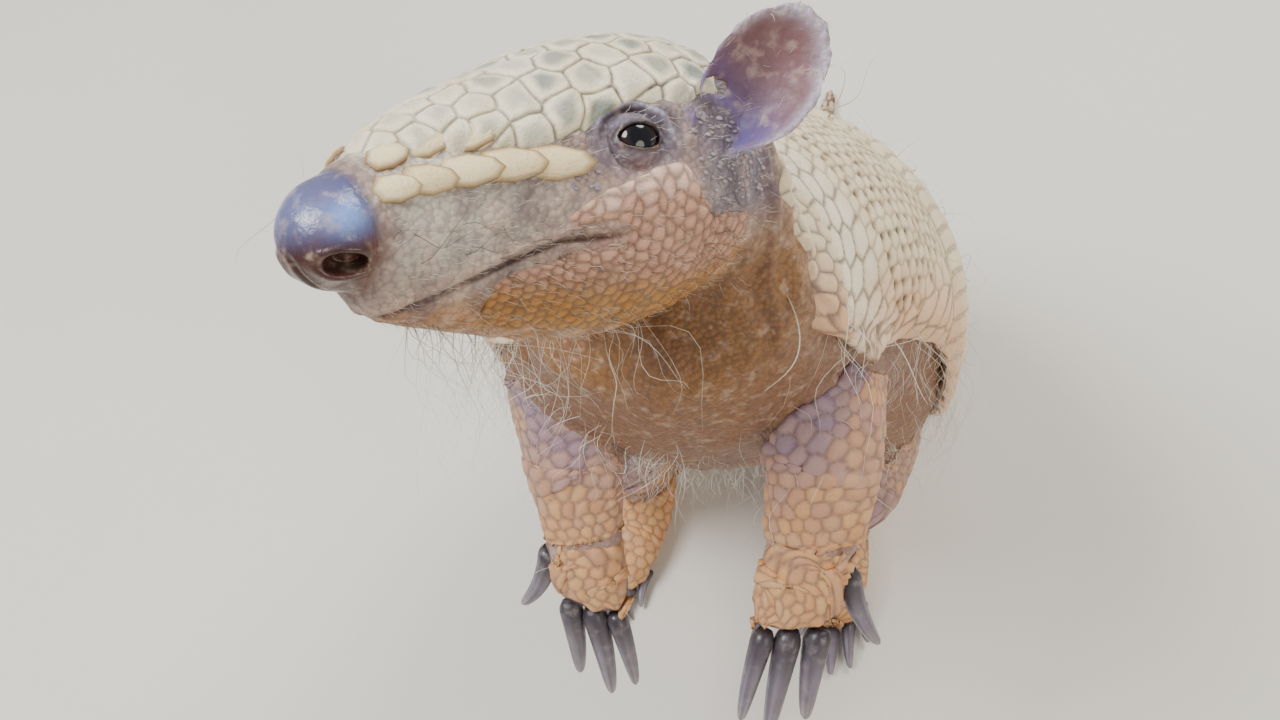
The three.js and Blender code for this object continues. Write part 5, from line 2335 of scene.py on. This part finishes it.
@dataclass
class ScuteSheet:
    """A sheet of touching scutes that lies on the skin, with its rim let into it.

    The sizes are in millimetres: the mesh's pitch, how far its joints stand off the skin, how far
    the scutes swell over them, how wide the joints are, and over what width the rim rises.
    """

    name: str
    slot: Slot
    nodes: tuple[str, ...]
    pitch: float = 0.5
    stand: float = 0.35
    dome: float = 0.7
    roll: float = 0.8
    joint: float = 0.3
    rim: float = 1.6
    sink: float = 3.0
    dark: float = 0.8

    def build(
        self, grid: Grid, places: Array, out: Array, margin: Array, mosaic: Mosaic, flat: Array,
        colours: Array, finish: bpy.types.Material,
    ) -> Piece:
        """Makes the sheet.

        Args:
            grid: Its mesh, still flat.
            places: Where its points lie on the skin, in metres.
            out: The skin's outward directions there.
            margin: How far inside its outline each point lies, in millimetres.
            mosaic: Its scutes.
            flat: The points' places on the mosaic.
            colours: A colour for each scute.
            finish: Its material.

        Returns:
            The finished piece.
        """
        wander = stacked(ripple(places / MM, 6.0, 3), ripple(places / MM, 6.0, 4)) * 0.25
        cells = mosaic.read(flat + wander)
        draw = np.random.default_rng(len(colours))
        lift = draw.normal(0, 0.12, len(colours))[cells.owner]
        height = self.stand + (self.dome + lift) * (1 - np.exp(-cells.edge / self.roll))
        height += 0.06 * ripple(places / MM, 5.0, 8)
        inside = ramp(margin, 0, self.rim)
        height = height * inside - 1.3 * (1 - ramp(margin, -0.6, self.rim * 0.6))
        height -= self.sink * ramp(margin, -0.6, -6)
        put_points(grid.piece, places + out * height[:, None] * MM)
        edge = bell(cells.edge, 0, 0.6)[:, None]
        tint = colours[cells.owner]
        put_tint(grid.piece, tint * (1 - 0.35 * edge))
        put_channel(grid.piece, "crack", self.dark * bell(cells.edge, 0, self.joint))
        grid.piece.data.uv_layers[0].name = "OFBake"
        grid.thicken(out, 0.9)
        return present(grid.piece, self.slot, finish, self.nodes)


@dataclass
class LimbScales:
    """Touching scales in rows round the legs and over the hands and feet."""

    coat: Coat
    row: float = 4.3
    column: float = 4.7
    spare: float = 8.0
    tan: str = "d3a06a"
    orange: str = "c98a58"
    mauve: str = "8d7587"
    seed: int = 90

    def build(self, finish: bpy.types.Material) -> list[Piece]:
        """Makes the scales of all four limbs.

        Args:
            finish: Their material.

        Returns:
            The finished pieces.
        """
        pieces = []
        for side, sign in SIDES:
            for limb in ("fore", "hind"):
                leg, foot = f"{limb}leg_{side}", f"{limb}foot_{side}"
                pieces += [self.sheet(name, leg, foot, sign, finish) for name in (leg, foot)]
        return pieces

    def sheet(self, name: str, leg: str, foot: str, sign: float, finish: bpy.types.Material) -> Piece:
        """Makes the scales on one solid.

        Args:
            name: The solid.
            leg: The limb's leg.
            foot: The limb's foot.
            sign: The side's sign.
            finish: Their material.

        Returns:
            The finished piece.
        """
        points = solid_points(name)
        heights = np.concatenate([solid_points(part) for part in (leg, foot)])[:, 2]
        start = points[np.argmax(points[:, 2])] if name == leg else solid_points(leg).mean(axis=0)
        line = MiddleLine(points, 6, np.array([0, -1.0, 0.15]), start)
        sheet = ScuteSheet(
            f"{name}_scales", Slot.HIDE, (name,), pitch=0.74, stand=0.1, dome=0.6, roll=0.9, joint=0.34,
            rim=1.8, sink=0.0, dark=0.5,
        )
        length = line.length / MM + 2 * self.spare
        grid = Grid.added(sheet.name, length, 2 * np.pi * 17, sheet.pitch)
        distance = grid.along * length - self.spare
        turn = grid.share * np.pi * 1.01
        middle, way = line.at(distance * MM)
        out = line.spoke(way, turn)
        far, mine = self.coat.laid(grid, middle, out, 0.05, (name,), 1.2 if name == leg else 2.4)
        places = middle + out * far[:, None] * MM
        ankle = solid_points(foot).mean(axis=0)
        roots = [nearest_end(solid_points(claw), ankle) for claw in named(foot.replace("foot", "claw"))]
        gap = np.linalg.norm(places[:, None] - np.array(roots), axis=2).min(axis=1) / MM
        margin = np.min([mine * 12 - (6 if name == leg else 9), gap - 4.5, places[:, 2] / MM - 2.5], axis=0)
        margin += 0.5 * ripple(places / MM, 6.0, self.seed)
        draw = np.random.default_rng(self.seed + len(name))
        radius = float(np.median(far[mine > 0.5]))
        half = np.pi * radius
        count = int(2 * half / self.column)
        column = 2 * half / count
        seeds = staggered(-self.spare, length, self.row, half + column, column)
        seeds += draw.normal(0, 0.32, seeds.shape)
        sizes = np.array([self.row, column]) / 2 * draw.uniform(0.9, 1.1, (len(seeds), 2))
        colours = self.colours(line, seeds, radius, heights, sign, draw)
        flat = stacked(distance, turn * radius)
        return sheet.build(grid, places, out, margin, Mosaic(seeds, sizes), flat, colours, finish)

    def colours(
        self, line: MiddleLine, seeds: Array, radius: float, heights: Array, sign: float,
        draw: np.random.Generator,
    ) -> Array:
        """Tan scales below and on the outer side, mauve ones above and inside.

        Args:
            line: The solid's middle line.
            seeds: The scales' places, along the line and round it.
            radius: The solid's middling radius.
            heights: The heights of the limb's points, in metres.
            sign: The side's sign.
            draw: The random draws.

        Returns:
            A colour for each scale.
        """
        middle, way = line.at(seeds[:, 0] * MM)
        facing = line.spoke(way, seeds[:, 1] / radius)
        high = ramp((middle[:, 2] - heights.min()) / np.ptp(heights), 0.28, 0.75)
        outer = ramp(facing[:, 0] * sign, -0.3, 0.8)
        tone = np.clip(0.2 * draw.uniform(-1, 1, len(seeds)) + (0.85 - 0.5 * outer) * high, 0, 1)[:, None]
        warm = draw.uniform(0, 0.8, (len(seeds), 1))
        tan = blend(linear(self.tan), linear(self.orange), warm)
        return blend(tan, linear(self.mauve), tone)


@dataclass
class TailRings:
    """Rings of scutes round the tail: large ones, with a smaller row behind each."""

    coat: Coat
    ring: float = 9.0
    width: float = 6.0
    seed: int = 120

    def build(self, finish: bpy.types.Material) -> Piece:
        """Makes the rings.

        Args:
            finish: Their material.

        Returns:
            The finished piece.
        """
        names = sorted(named("tail"))
        points = np.concatenate([solid_points(name) for name in names])
        draw = np.random.default_rng(self.seed)
        start = solid_points("trunk").mean(axis=0)
        line = MiddleLine(points, 14, np.array([0, -0.2, 1.0]), start)
        beds = []
        for k, distance in enumerate(np.arange(-0.004, line.length + 0.006, self.ring * MM)):
            for part, (shift, long, high) in enumerate(((0, 0.62, 1.9), (0.56, 0.36, 1.3))):
                middle, way = line.at(distance + shift * self.ring * MM)
                guess = self.coat.cast(middle[None], line.spoke(way, 0.0)[None], 0.05)[0]
                radius = np.linalg.norm(guess - middle) / MM
                around = max(5, int(2 * np.pi * radius / self.width))
                turns = (np.arange(around) + 0.5 * ((k + part) % 2)) * 2 * np.pi / around
                out = line.spoke(way, turns)
                places, normals, met = self.coat.cast(np.tile(middle, (around, 1)), out, 0.05)
                wide = np.linalg.norm(places - middle, axis=1) * 2 * np.pi / around / MM * 0.97
                size = stacked(self.ring * long, wide, high)
                along = flattened(way, normals)
                beds.append(Bed(places, normals, along, size, draw.uniform(0, 1, around)).kept(met))
        bed = Bed.merged(beds)
        bed = bed.kept(self.coat.lies_on(bed.root, "tail"))
        kind = ScaleKind("tail_ring_scutes", "c8b497", "a98f74", "75604e", tilt=7, square=3.6)
        return self.coat.scales(bed, kind, finish, Slot.TAIL, names)


@dataclass
class NeckScutes:
    """Chunky scutes in rows over the nape, which run on under the shell's front margin."""

    coat: Coat
    wrap: Wrap
    first: float = -32.0
    tuck: float = 4.0
    radius: float = 44.0
    row: float = 6.2
    column: float = 5.8
    seed: int = 140

    def build(self, finish: bpy.types.Material) -> Piece:
        """Makes the sheet.

        Args:
            finish: Its material.

        Returns:
            The finished piece.
        """
        sheet = ScuteSheet("nuchal_scutes", Slot.SHELL, ("nuchal_band",), dome=1.4, roll=1.0, joint=0.34)
        grid = Grid.added(sheet.name, 40.0, 4.2 * self.radius, sheet.pitch)
        turn = np.radians(118.0) * grid.share
        front = self.wrap.edges("scapular_shield")[0]
        shares = np.linspace(-1, 1, 161)
        corner = self.wrap.at(front(shares), shares)[0]
        turns = np.arctan2(corner[:, 0], corner[:, 2] - 4.0)
        shell_share = np.interp(turn, turns, shares)
        within = ramp(np.minimum(turns.max() - turn, turn - turns.min()), -0.03, 0.06)
        brow = front(shell_share)
        station = self.first + grid.along * (brow + self.tuck - self.first)
        ways = sideways(turn)
        hub = stacked(0, station, 4.0)
        kinds = ("neck", "nuchal", "trunk")
        far, mine = self.coat.laid(grid, TRUNK.world(hub), TRUNK.turned(ways), 0.075, kinds)
        ahead = brow - station
        rim = np.linalg.norm((self.wrap.at(brow, shell_share)[0] - hub)[:, [0, 2]], axis=1)
        rim -= 2.0 + 2.4 * ramp(ahead, 0.2, -2.4)
        far += np.maximum(rim - far, 0) * ramp(ahead, 15, 1.0) * within
        far -= np.maximum(far - rim, 0) * ramp(ahead, 3, 0) * within
        reach = np.interp(station, (self.first, -16.0, 2.0), (0.44, 0.66, 0.93))
        margin = np.min([station - self.first, (reach - np.abs(grid.share)) * 90, mine * 12 - 6], axis=0)
        margin = np.minimum(margin, within * 12 - 8)
        far -= 10 * ramp(margin, -3, -14)
        places = TRUNK.world(hub + ways * far[:, None])
        draw = np.random.default_rng(self.seed)
        half = math.radians(120) * self.radius
        seeds = staggered(-40.0, self.tuck + 5, self.row, half, self.column)
        seeds += draw.normal(0, 0.5, seeds.shape)
        sizes = np.array([self.row, self.column]) / 2 * draw.uniform(0.85, 1.15, (len(seeds), 2))
        low = ramp(np.abs(seeds[:, 1]), 52, 84)[:, None]
        tone = draw.uniform(0, 1, (len(seeds), 1))
        colours = blend(linear("ead9b8"), linear("cfb48c"), 0.4 * tone)
        colours = blend(colours, linear("d99c6c"), 0.8 * low)
        flat = stacked(-ahead, turn * self.radius)
        mosaic = Mosaic(seeds, sizes)
        return sheet.build(grid, places, TRUNK.turned(ways), margin, mosaic, flat, colours, finish)


@dataclass
class FaceScales:
    """The small scales of the face: shingles, the patch under the eye, tubercles and the cheek."""

    coat: Coat
    seed: int = 160

    def build(self, finish: bpy.types.Material) -> list[Piece]:
        """Makes them all.

        Args:
            finish: Their material.

        Returns:
            The finished pieces.
        """
        kinds = (
            (self.shingles, ScaleKind(
                "snout_shingles", "ecdcae", "dcc08c", "97794f", tilt=7, square=2.3, taper=0.35,
            )),
            (self.tubercles, ScaleKind("temple_tubercles", "a79fa6", "857d88", "5d5664", tilt=8, square=2.2)),
        )
        pieces = []
        for lay, kind in kinds:
            bed = Bed.merged([lay(sign) for _, sign in SIDES])
            pieces.append(self.coat.scales(bed, kind, finish, Slot.HIDE, ["head"]))
        horn = ScuteFinish("cheek_horn", dirt="4a2f28", polish=0.40, matt=0.6).make()
        pieces += [self.cheek(side, sign, horn) for side, sign in SIDES]
        return pieces

    def shingles(self, sign: float) -> Bed:
        """Long pale shingles along the shield's lower edge on the snout.

        Args:
            sign: The side's sign.

        Returns:
            Their places.
        """
        y = np.array([-86.0, -78.5, -69.0, -59.0, -49.0, -84.0, -75.5, -65.5])
        z = np.array([7.8, 8.4, 8.8, 8.6, 7.4, 14.2, 15.4, 15.6])
        long = np.array([11.0, 13.5, 16.5, 18.0, 18.5, 10.0, 12.5, 14.0])
        size = stacked(long, 0.26 * long + 5.0, 2.8)
        tone = np.array([0.2, 0.5, 0.3, 0.5, 0.6, 0.1, 0.2, 0.1])
        return self.coat.face_bed(y, z, sign, size, tone, pitch=-12)

    def cheek(self, side: str, sign: float, finish: bpy.types.Material) -> Piece:
        """Makes one side's sheet: pinkish scutes under the eye, smaller ones on the cheek and jaw.

        Args:
            side: The side's name.
            sign: Its sign.
            finish: The sheet's material.

        Returns:
            The finished piece.
        """
        sheet = ScuteSheet(
            f"cheek_scutes_{side}", Slot.HIDE, ("head",), pitch=0.42, stand=0.1, dome=0.55, roll=0.5,
            joint=0.26, rim=1.8, dark=0.55,
        )
        front, rear, low, high = -66.0, 8.0, -30.0, 15.0
        grid = Grid.added(sheet.name, rear - front, high - low, sheet.pitch)
        station = front + grid.along * (rear - front)
        arc = low + (grid.share + 1) / 2 * (high - low)
        turn = arc / 24.0
        ways = stacked(sign * np.cos(turn), 0, np.sin(turn))
        hub = stacked(0, station, -8.0)
        far, mine = self.coat.laid(grid, HEAD.world(hub), HEAD.turned(ways), 0.05, ("head",), 1.0)
        local = hub + ways * far[:, None]
        _, y, z = local.T
        gap = self.coat.hide.lip_gap(local)
        roof = np.interp(y, (-50, -38, -28, -18, -12, -4), (-5.0, 0.5, 1.6, 4.0, -8.0, -12.0))
        over = np.minimum(roof - z, y + 49)
        lips = np.abs(gap) - np.interp(y, (-34, -30), (2.4, -6.0))
        shape = np.where(gap > 0, np.minimum(over, lips), lips)
        ends = (1 - np.abs(grid.share)) * 20
        margin = np.min([shape, roof - z, y - front, rear - y, ends, mine * 12 - 6], axis=0)
        margin += 0.9 * ripple(local, 8.0, 77)
        draw = np.random.default_rng(self.seed)
        seeds = staggered(front - 2, rear + 2, 3.0, (high - low) / 2 + 2, 2.8)
        seeds += draw.normal(0, 0.42, seeds.shape) + (0, (high + low) / 2)
        patch = ramp(seeds[:, 1], 2.0, 4.5) * ramp(seeds[:, 0], -46, -40)
        keep = draw.uniform(0, 1, len(seeds)) > 0.42 * patch
        seeds, patch = seeds[keep], patch[keep]
        sizes = np.array([1.5, 1.4]) * (1 + 0.35 * patch[:, None]) * draw.uniform(0.85, 1.15, (len(seeds), 2))
        tone = draw.uniform(0, 1, (len(seeds), 1))
        # The jaw's scutes turn ochre: partly their own colour, partly painted warm light bounced up from
        # below.
        jaw = ramp(seeds[:, 1], -8, -20)[:, None]
        colours = blend(linear("cc9a80"), linear("a87462"), 0.5 * tone)
        colours = blend(colours, linear("e6c0ac"), patch[:, None])
        colours = blend(colours, linear("a06a1c") * (0.75 + 0.5 * tone), jaw)
        flat = stacked(station, arc)
        out = HEAD.turned(ways)
        return sheet.build(grid, HEAD.world(local), out, margin, Mosaic(seeds, sizes), flat, colours, finish)

    def tubercles(self, sign: float) -> Bed:
        """Pale oval tubercles between the eye and the ear, and in front of the eye.

        Args:
            sign: The side's sign.

        Returns:
            Their places.
        """
        draw = np.random.default_rng(self.seed + 1)
        y = np.concatenate([draw.uniform(-14, 14, 120), draw.uniform(-48, -38, 24)])
        z = np.concatenate([draw.uniform(-9, 13, 120), draw.uniform(0, 7, 24)])
        size = np.array([1.7, 1.0, 0.6]) * draw.uniform(0.5, 1.25, (len(y), 1))
        return self.coat.face_bed(y, z, sign, size, draw.uniform(0, 1, len(y)), pitch=-25)


@dataclass(frozen=True)
class HairFinish:
    """Coarse pale hair, a little darker at the root."""

    name: str
    root: str
    tip: str
    dark: str

    def make(self) -> bpy.types.Material:
        """Builds the material."""
        sheet = NodeSheet(self.name)
        base = sheet.mixed(self.root, self.tip, sheet.spread(sheet.number("run"), (0.0, 0.5), (0.0, 1.0)))
        tone = sheet.spread(sheet.number("tone"), (0.55, 1.0), (0.0, 0.8))
        base = sheet.mixed(base, self.dark, tone)
        base = sheet.clouded(base, self.dark, (300.0, 2.0), (0.4, 0.7), 0.25)
        sheet.shade(Base_Color=base, Roughness=0.38, Specular_IOR_Level=0.5)
        return sheet.material


@dataclass
class Hairs:
    """Bristles of the shell, long hairs of the underside and limbs, and short ones on the face."""

    coat: Coat
    wrap: Wrap
    seed: int = 200

    def build(self) -> list[Piece]:
        """Makes every piece of hair."""
        pale = HairFinish("pale_bristle", "b5a48c", "efe9dc", "a8977c").make()
        dark = HairFinish("dark_bristle", "4a3a30", "7a6350", "2c211c").make()
        shell = named("scapular", "band", "pelvic")
        # How each kind is laid, its name and finish, how far it sags and waves, its solids, rings, seed.
        kinds = (
            (self.shell_bristles, "shell_bristles", pale, 0.35, 0.22, shell, 9, 1),
            (self.margin_fringe, "margin_fringe", pale, 0.35, 0.30, ["trunk"], 9, 2),
            (self.belly, "belly_hair", pale, 0.35, 0.25, ["trunk"], 7, 3),
            (self.chin, "chin_hair", pale, 0.3, 0.35, ["head"], 9, 4),
            (self.face, "face_hair", pale, 0.05, 0.15, ["head"], 5, 5),
            (self.cheek, "cheek_hair", dark, 0.3, 0.35, ["head"], 7, 6),
            (self.whiskers, "whiskers", dark, 0.05, 0.2, ["nose"], 12, 7),
            (self.limbs, "limb_hair", pale, 0.2, 0.3, ["trunk"], 7, 8),
            (self.ears, "ear_hair", pale, 0.05, 0.15, ["ear_left"], 5, 9),
            (self.strays, "long_bristles", pale, 0.12, 0.30, ["trunk"], 16, 11),
        )
        return [
            self.coat.strands(name, lay(), finish, droop, wave, nodes, rings, seed)
            for lay, name, finish, droop, wave, nodes, rings, seed in kinds
        ]

    def shell_bristles(self) -> Bed:
        """Scattered long white bristles from the joints of the shell.

        Returns:
            Their roots.
        """
        draw = np.random.default_rng(self.seed)
        count = 260
        y = np.concatenate([draw.uniform(4, 262, count // 2), 72.5 + 13.6 * draw.integers(0, 8, count // 2)])
        s = draw.uniform(-0.98, 0.98, count)
        place, out = self.wrap.at(y, s)
        way = unit(out * draw.uniform(0.06, 0.3, (count, 1)) + [0, 1, 0] + draw.normal(0, 0.16, (count, 3)))
        size = stacked(draw.uniform(12, 38, count), draw.uniform(0.16, 0.30, count), 0.8)
        return Bed(TRUNK.world(place), TRUNK.turned(out), TRUNK.turned(way), size, draw.uniform(0, 1, count))

    def margin_fringe(self) -> Bed:
        """Long wavy hairs that hang from under the shell's side and front margins.

        Returns:
            Their roots.
        """
        draw = np.random.default_rng(self.seed + 1)
        count = 300
        y = draw.uniform(30, 262, count)
        s = draw.choice([-1, 1], count) * draw.uniform(0.93, 0.995, count)
        front = 36
        y[:front] = draw.uniform(0.5, 5, front)
        s[:front] = draw.choice([-1, 1], front) * draw.uniform(0.45, 0.99, front)
        place, out = self.wrap.at(y, s)
        place = place - out * 3.0
        lean = stacked(0, np.where(np.arange(count) < front, -0.4, 0.5), -1)
        way = unit(out * 0.05 + lean + draw.normal(0, 0.22, (count, 3)))
        size = stacked(draw.uniform(13, 38, count), draw.uniform(0.16, 0.30, count), 0.5)
        tone = draw.uniform(0, 0.9, count)
        return Bed(TRUNK.world(place), TRUNK.turned(out), TRUNK.turned(way), size, tone)

    def belly(self) -> Bed:
        """Tufts in rows across the chest and belly.

        Returns:
            Their roots.
        """
        draw = np.random.default_rng(self.seed + 2)
        count = 760
        y = np.round(draw.uniform(22, 225, count) / 11) * 11 + draw.normal(0, 0.8, count)
        turn = draw.uniform(-0.62, 0.62, count) * np.pi / 2 + np.pi
        target = TRUNK.world(stacked(0, y, 0))
        places, out, met = self.coat.cast(target, TRUNK.turned(sideways(turn)), 0.12)
        back = flattened(TRUNK.axes[1], out)
        way = unit(back + out * 0.45 + draw.normal(0, 0.25, (count, 3)))
        size = stacked(draw.uniform(8, 26, count), draw.uniform(0.14, 0.26, count), 0.5)
        bed = Bed(places, out, way, size, draw.uniform(0, 1, count))
        own = self.coat.lies_on(places, "trunk", "neck")
        return bed.kept(met & own)

    def head_bed(self, spots: Array, way: Array, size: Array, tone: Array) -> Bed:
        """Roots on the skin nearest to places of the head's frame."""
        places, out = self.coat.settled(HEAD.world(spots))
        return Bed(places, out, unit(way), size, tone)

    def chin(self) -> Bed:
        """Long pale hairs under the chin and the throat.

        Returns:
            Their roots.
        """
        draw = np.random.default_rng(self.seed + 3)
        count = 70
        spots = stacked(draw.uniform(-20, 20, count), -82 + 80 * draw.uniform(0, 1, count) ** 1.7, -36.0)
        local = stacked(draw.normal(0, 0.35, count), draw.uniform(-0.1, 0.7, count), -0.8)
        size = stacked(draw.uniform(12, 34, count), draw.uniform(0.15, 0.27, count), 0.5)
        return self.head_bed(spots, HEAD.turned(local), size, draw.uniform(0, 0.8, count))

    def face(self) -> Bed:
        """Short hairs that lie back over the snout, the cheeks and the top of the head.

        Returns:
            Their roots.
        """
        draw = np.random.default_rng(self.seed + 4)
        count = 2300
        turn = draw.uniform(-np.pi, np.pi, count)
        y = draw.uniform(-90, 16, count)
        target = HEAD.world(stacked(0, y, -8))
        places, out, met = self.coat.cast(target, HEAD.turned(sideways(turn)), 0.06)
        back = flattened(HEAD.axes[1], out)
        way = unit(back + out * draw.uniform(0.15, 0.5, (count, 1)) + draw.normal(0, 0.2, (count, 3)))
        long = draw.uniform(2.2, 5.5, count) * (0.6 + 0.4 * ramp(y, -90, -60))
        size = stacked(long, draw.uniform(0.08, 0.14, count), 0.3)
        bed = Bed(places, out, way, size, draw.uniform(0, 1, count))
        return bed.kept(met)

    def cheek(self) -> Bed:
        """Dark curved hairs on the cheeks and round the mouth.

        Returns:
            Their roots.
        """
        draw = np.random.default_rng(self.seed + 5)
        count = 240
        sign = draw.choice([-1.0, 1.0], count)
        y, z = draw.uniform(-75, 4, count), draw.uniform(-33, -6, count)
        spots = stacked(sign * 40, y, z)
        local = stacked(sign * 0.35, 0.9, draw.uniform(-0.8, -0.1, count))
        size = stacked(draw.uniform(6, 15, count), draw.uniform(0.12, 0.2, count), 0.3)
        return self.head_bed(spots, HEAD.turned(local), size, draw.uniform(0, 1, count))

    def whiskers(self) -> Bed:
        """A few long whiskers beside the nose.

        Returns:
            Their roots.
        """
        draw = np.random.default_rng(self.seed + 6)
        count = 12
        sign = np.where(np.arange(count) % 2 == 0, -1.0, 1.0)
        spots = stacked(sign * 16, draw.uniform(-92, -70, count), draw.uniform(-12, 4, count))
        local = stacked(sign, draw.uniform(-0.3, 0.5, count), draw.uniform(-0.3, 0.8, count))
        long = np.where(np.arange(count) < 2, 52.0, draw.uniform(14, 30, count))
        size = stacked(long, draw.uniform(0.16, 0.22, count), 0.5)
        return self.head_bed(spots, HEAD.turned(local), size, draw.uniform(0.5, 1, count))

    def limbs(self) -> Bed:
        """Sparse hairs that fall over the legs.

        Returns:
            Their roots.
        """
        draw = np.random.default_rng(self.seed + 7)
        beds = []
        for side, sign in SIDES:
            for leg in ("fore", "hind"):
                points = solid_points(f"{leg}leg_{side}")
                pick = points[draw.integers(0, len(points), 40)] + draw.normal(0, 4 * MM, (40, 3))
                places, out = self.coat.settled(pick)
                way = unit(out * 0.6 + [0.1 * sign, -0.1, -1.0] + draw.normal(0, 0.25, (40, 3)))
                size = stacked(draw.uniform(6, 22, 40), draw.uniform(0.13, 0.22, 40), 0.5)
                beds.append(Bed(places, out, way, size, draw.uniform(0, 1, 40)))
        return Bed.merged(beds)

    def ears(self) -> Bed:
        """Fine hairs along the ears' rims.

        Returns:
            Their roots.
        """
        draw = np.random.default_rng(self.seed + 8)
        beds = []
        for side, _ in SIDES:
            points = solid_points(f"ear_{side}")
            middle = points.mean(axis=0)
            pick = points[draw.integers(0, len(points), 160)] + draw.normal(0, 2 * MM, (160, 3))
            places, out = self.coat.settled(pick)
            way = unit(out * 0.8 + unit(places - middle) * 0.7 + draw.normal(0, 0.3, (160, 3)))
            size = stacked(draw.uniform(1.2, 3.2, 160), draw.uniform(0.07, 0.12, 160), 0.2)
            beds.append(Bed(places, out, way, size, draw.uniform(0, 1, 160)))
        return Bed.merged(beds)

    def strays(self) -> Bed:
        """The longest white bristles: four that hang from the shell's front corner, and two upright.

        Returns:
            Their roots.
        """
        draw = np.random.default_rng(self.seed + 9)
        roots = np.array([
            (30, -14, 3), (44, -4, 2), (49.6, 6.7, 1.1), (47, 3, 6), (35, 33.8, 54.8), (33, 32, 56.5),
        ])
        ways = np.array([
            (0.1, -0.3, -1), (0.3, -0.3, -1), (0.4, -0.2, -1), (0.5, -0.1, -0.9), (0.5, 0, 0.9),
            (0.6, 0, 0.8),
        ])
        count = len(roots)
        places, out = self.coat.settled(TRUNK.world(roots))
        long = np.array([40, 44, 46, 38, 34, 30.0])
        size = stacked(long, draw.uniform(0.5, 0.62, count), 0.5)
        places[4:] = TRUNK.world(roots[4:])
        return Bed(places, out, unit(ways), size, np.zeros(count))


# ---- Studio ----


@dataclass(frozen=True)
class FloorFinish:
    """Plain pale paper with a faint tooth."""

    name: str = "studio_paper"
    shade: str = "d9d4ca"

    def make(self) -> bpy.types.Material:
        """Builds the material."""
        sheet = NodeSheet(self.name)
        tone = sheet.spread(sheet.noise(6.0, 3.0), (0.3, 0.7), (0.0, 0.15))
        base = sheet.mixed(self.shade, "c9c2b4", tone)
        normal = sheet.bumped((sheet.noise(700.0, 2.0), 0.05))
        sheet.shade(Base_Color=base, Roughness=0.9, Normal=normal)
        return sheet.material


@dataclass(frozen=True)
class Lamp:
    """One soft area light: its place and aim in metres, its side, its power and its colour."""

    name: str
    place: tuple[float, float, float]
    aim: tuple[float, float, float]
    side: float
    power: float
    colour: tuple[float, float, float]

    def hang(self) -> None:
        """Hangs the light."""
        data = bpy.data.lights.new(self.name, "AREA")
        data.energy = self.power
        data.shape = "DISK"
        data.size = self.side
        data.color = self.colour
        lamp = bpy.data.objects.new(self.name, data)
        lamp.location = self.place
        way = Vector(self.aim) - Vector(self.place)
        lamp.rotation_euler = way.to_track_quat("-Z", "Y").to_euler()
        bpy.context.scene.collection.objects.link(lamp)


@dataclass(frozen=True)
class Studio:
    """The floor, the lights and the camera.

    The camera stands in front of and above the animal. Its turn and its dip are in degrees, its
    place is in metres and its focal length is in millimetres on a 36 mm wide sensor.
    """

    floor: float = 6.0
    focal: float = 42.19
    place: tuple[float, float, float] = (0.0722, -0.3640, 0.618)
    turn: float = 19.84
    dip: float = 56.75
    roll: float = 8.4
    world: float = 0.5
    lamps: tuple[Lamp, ...] = (
        Lamp("key_light", (-0.70, -0.35, 1.35), (0, -0.1, 0.2), 0.7, 27, (0.94, 0.97, 1.0)),
        Lamp("fill_light", (0.95, -0.75, 0.75), (0, -0.1, 0.2), 0.8, 8, (1.0, 0.92, 0.80)),
        Lamp("back_light", (0.45, 0.85, 1.15), (0, 0, 0.2), 0.7, 16, (1.0, 0.98, 0.94)),
    )

    def set_up(self) -> None:
        """Lays the floor, hangs the lights and sets the camera."""
        bpy.ops.mesh.primitive_plane_add(size=self.floor)
        floor = newest("studio_floor")
        floor.data.materials.append(FloorFinish().make())
        for lamp in self.lamps:
            lamp.hang()
        world = bpy.data.worlds.new("studio")
        world.use_nodes = True
        sky = world.node_tree.nodes["Background"]
        sky.inputs["Color"].default_value = (0.93, 0.95, 1.0, 1.0)
        sky.inputs["Strength"].default_value = self.world
        bpy.context.scene.world = world
        self.aim()

    def aim(self) -> None:
        """Sets the camera."""
        turn, dip, roll = (math.radians(a) for a in (self.turn, self.dip, self.roll))
        back = Vector((math.sin(turn) * math.cos(dip), -math.cos(turn) * math.cos(dip), math.sin(dip)))
        level = Vector((math.cos(turn), math.sin(turn), 0))
        upright = back.cross(level)
        right = math.cos(roll) * level - math.sin(roll) * upright
        up = back.cross(right)
        data = bpy.data.cameras.new("front_camera")
        data.lens = self.focal
        data.sensor_width = 36.0
        data.clip_start = 0.01
        camera = bpy.data.objects.new("front_camera", data)
        rows = [[right[k], up[k], back[k], self.place[k]] for k in range(3)]
        camera.matrix_world = Matrix([*rows, [0, 0, 0, 1]])
        bpy.context.scene.collection.objects.link(camera)
        bpy.context.scene.camera = camera


def write_sizes() -> None:
    """Updates the view layer."""
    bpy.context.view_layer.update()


def main() -> None:
    """Builds the whole animal and its studio."""
    logging.basicConfig(level=logging.INFO, format="%(message)s")
    Studio().set_up()
    hide = Hide()
    skin = Solids([hide.build()])
    Eyes().build(hide.sites)
    Claws().build()
    shell = Shell()
    shell.build()
    HeadShield().build(skin)
    coat = Coat(hide, HideAtlas(hide.names), skin, Template())
    scales = ScuteFinish("hide_scales", dirt="5a4650", pore=0.05, mottle=200.0).make()
    LimbScales(coat).build(scales)
    TailRings(coat).build(scales)
    NeckScutes(coat, shell.wrap).build(scales)
    FaceScales(coat).build(scales)
    Hairs(coat, shell.wrap).build()
    write_sizes()


if __name__ == "__main__":
    main()
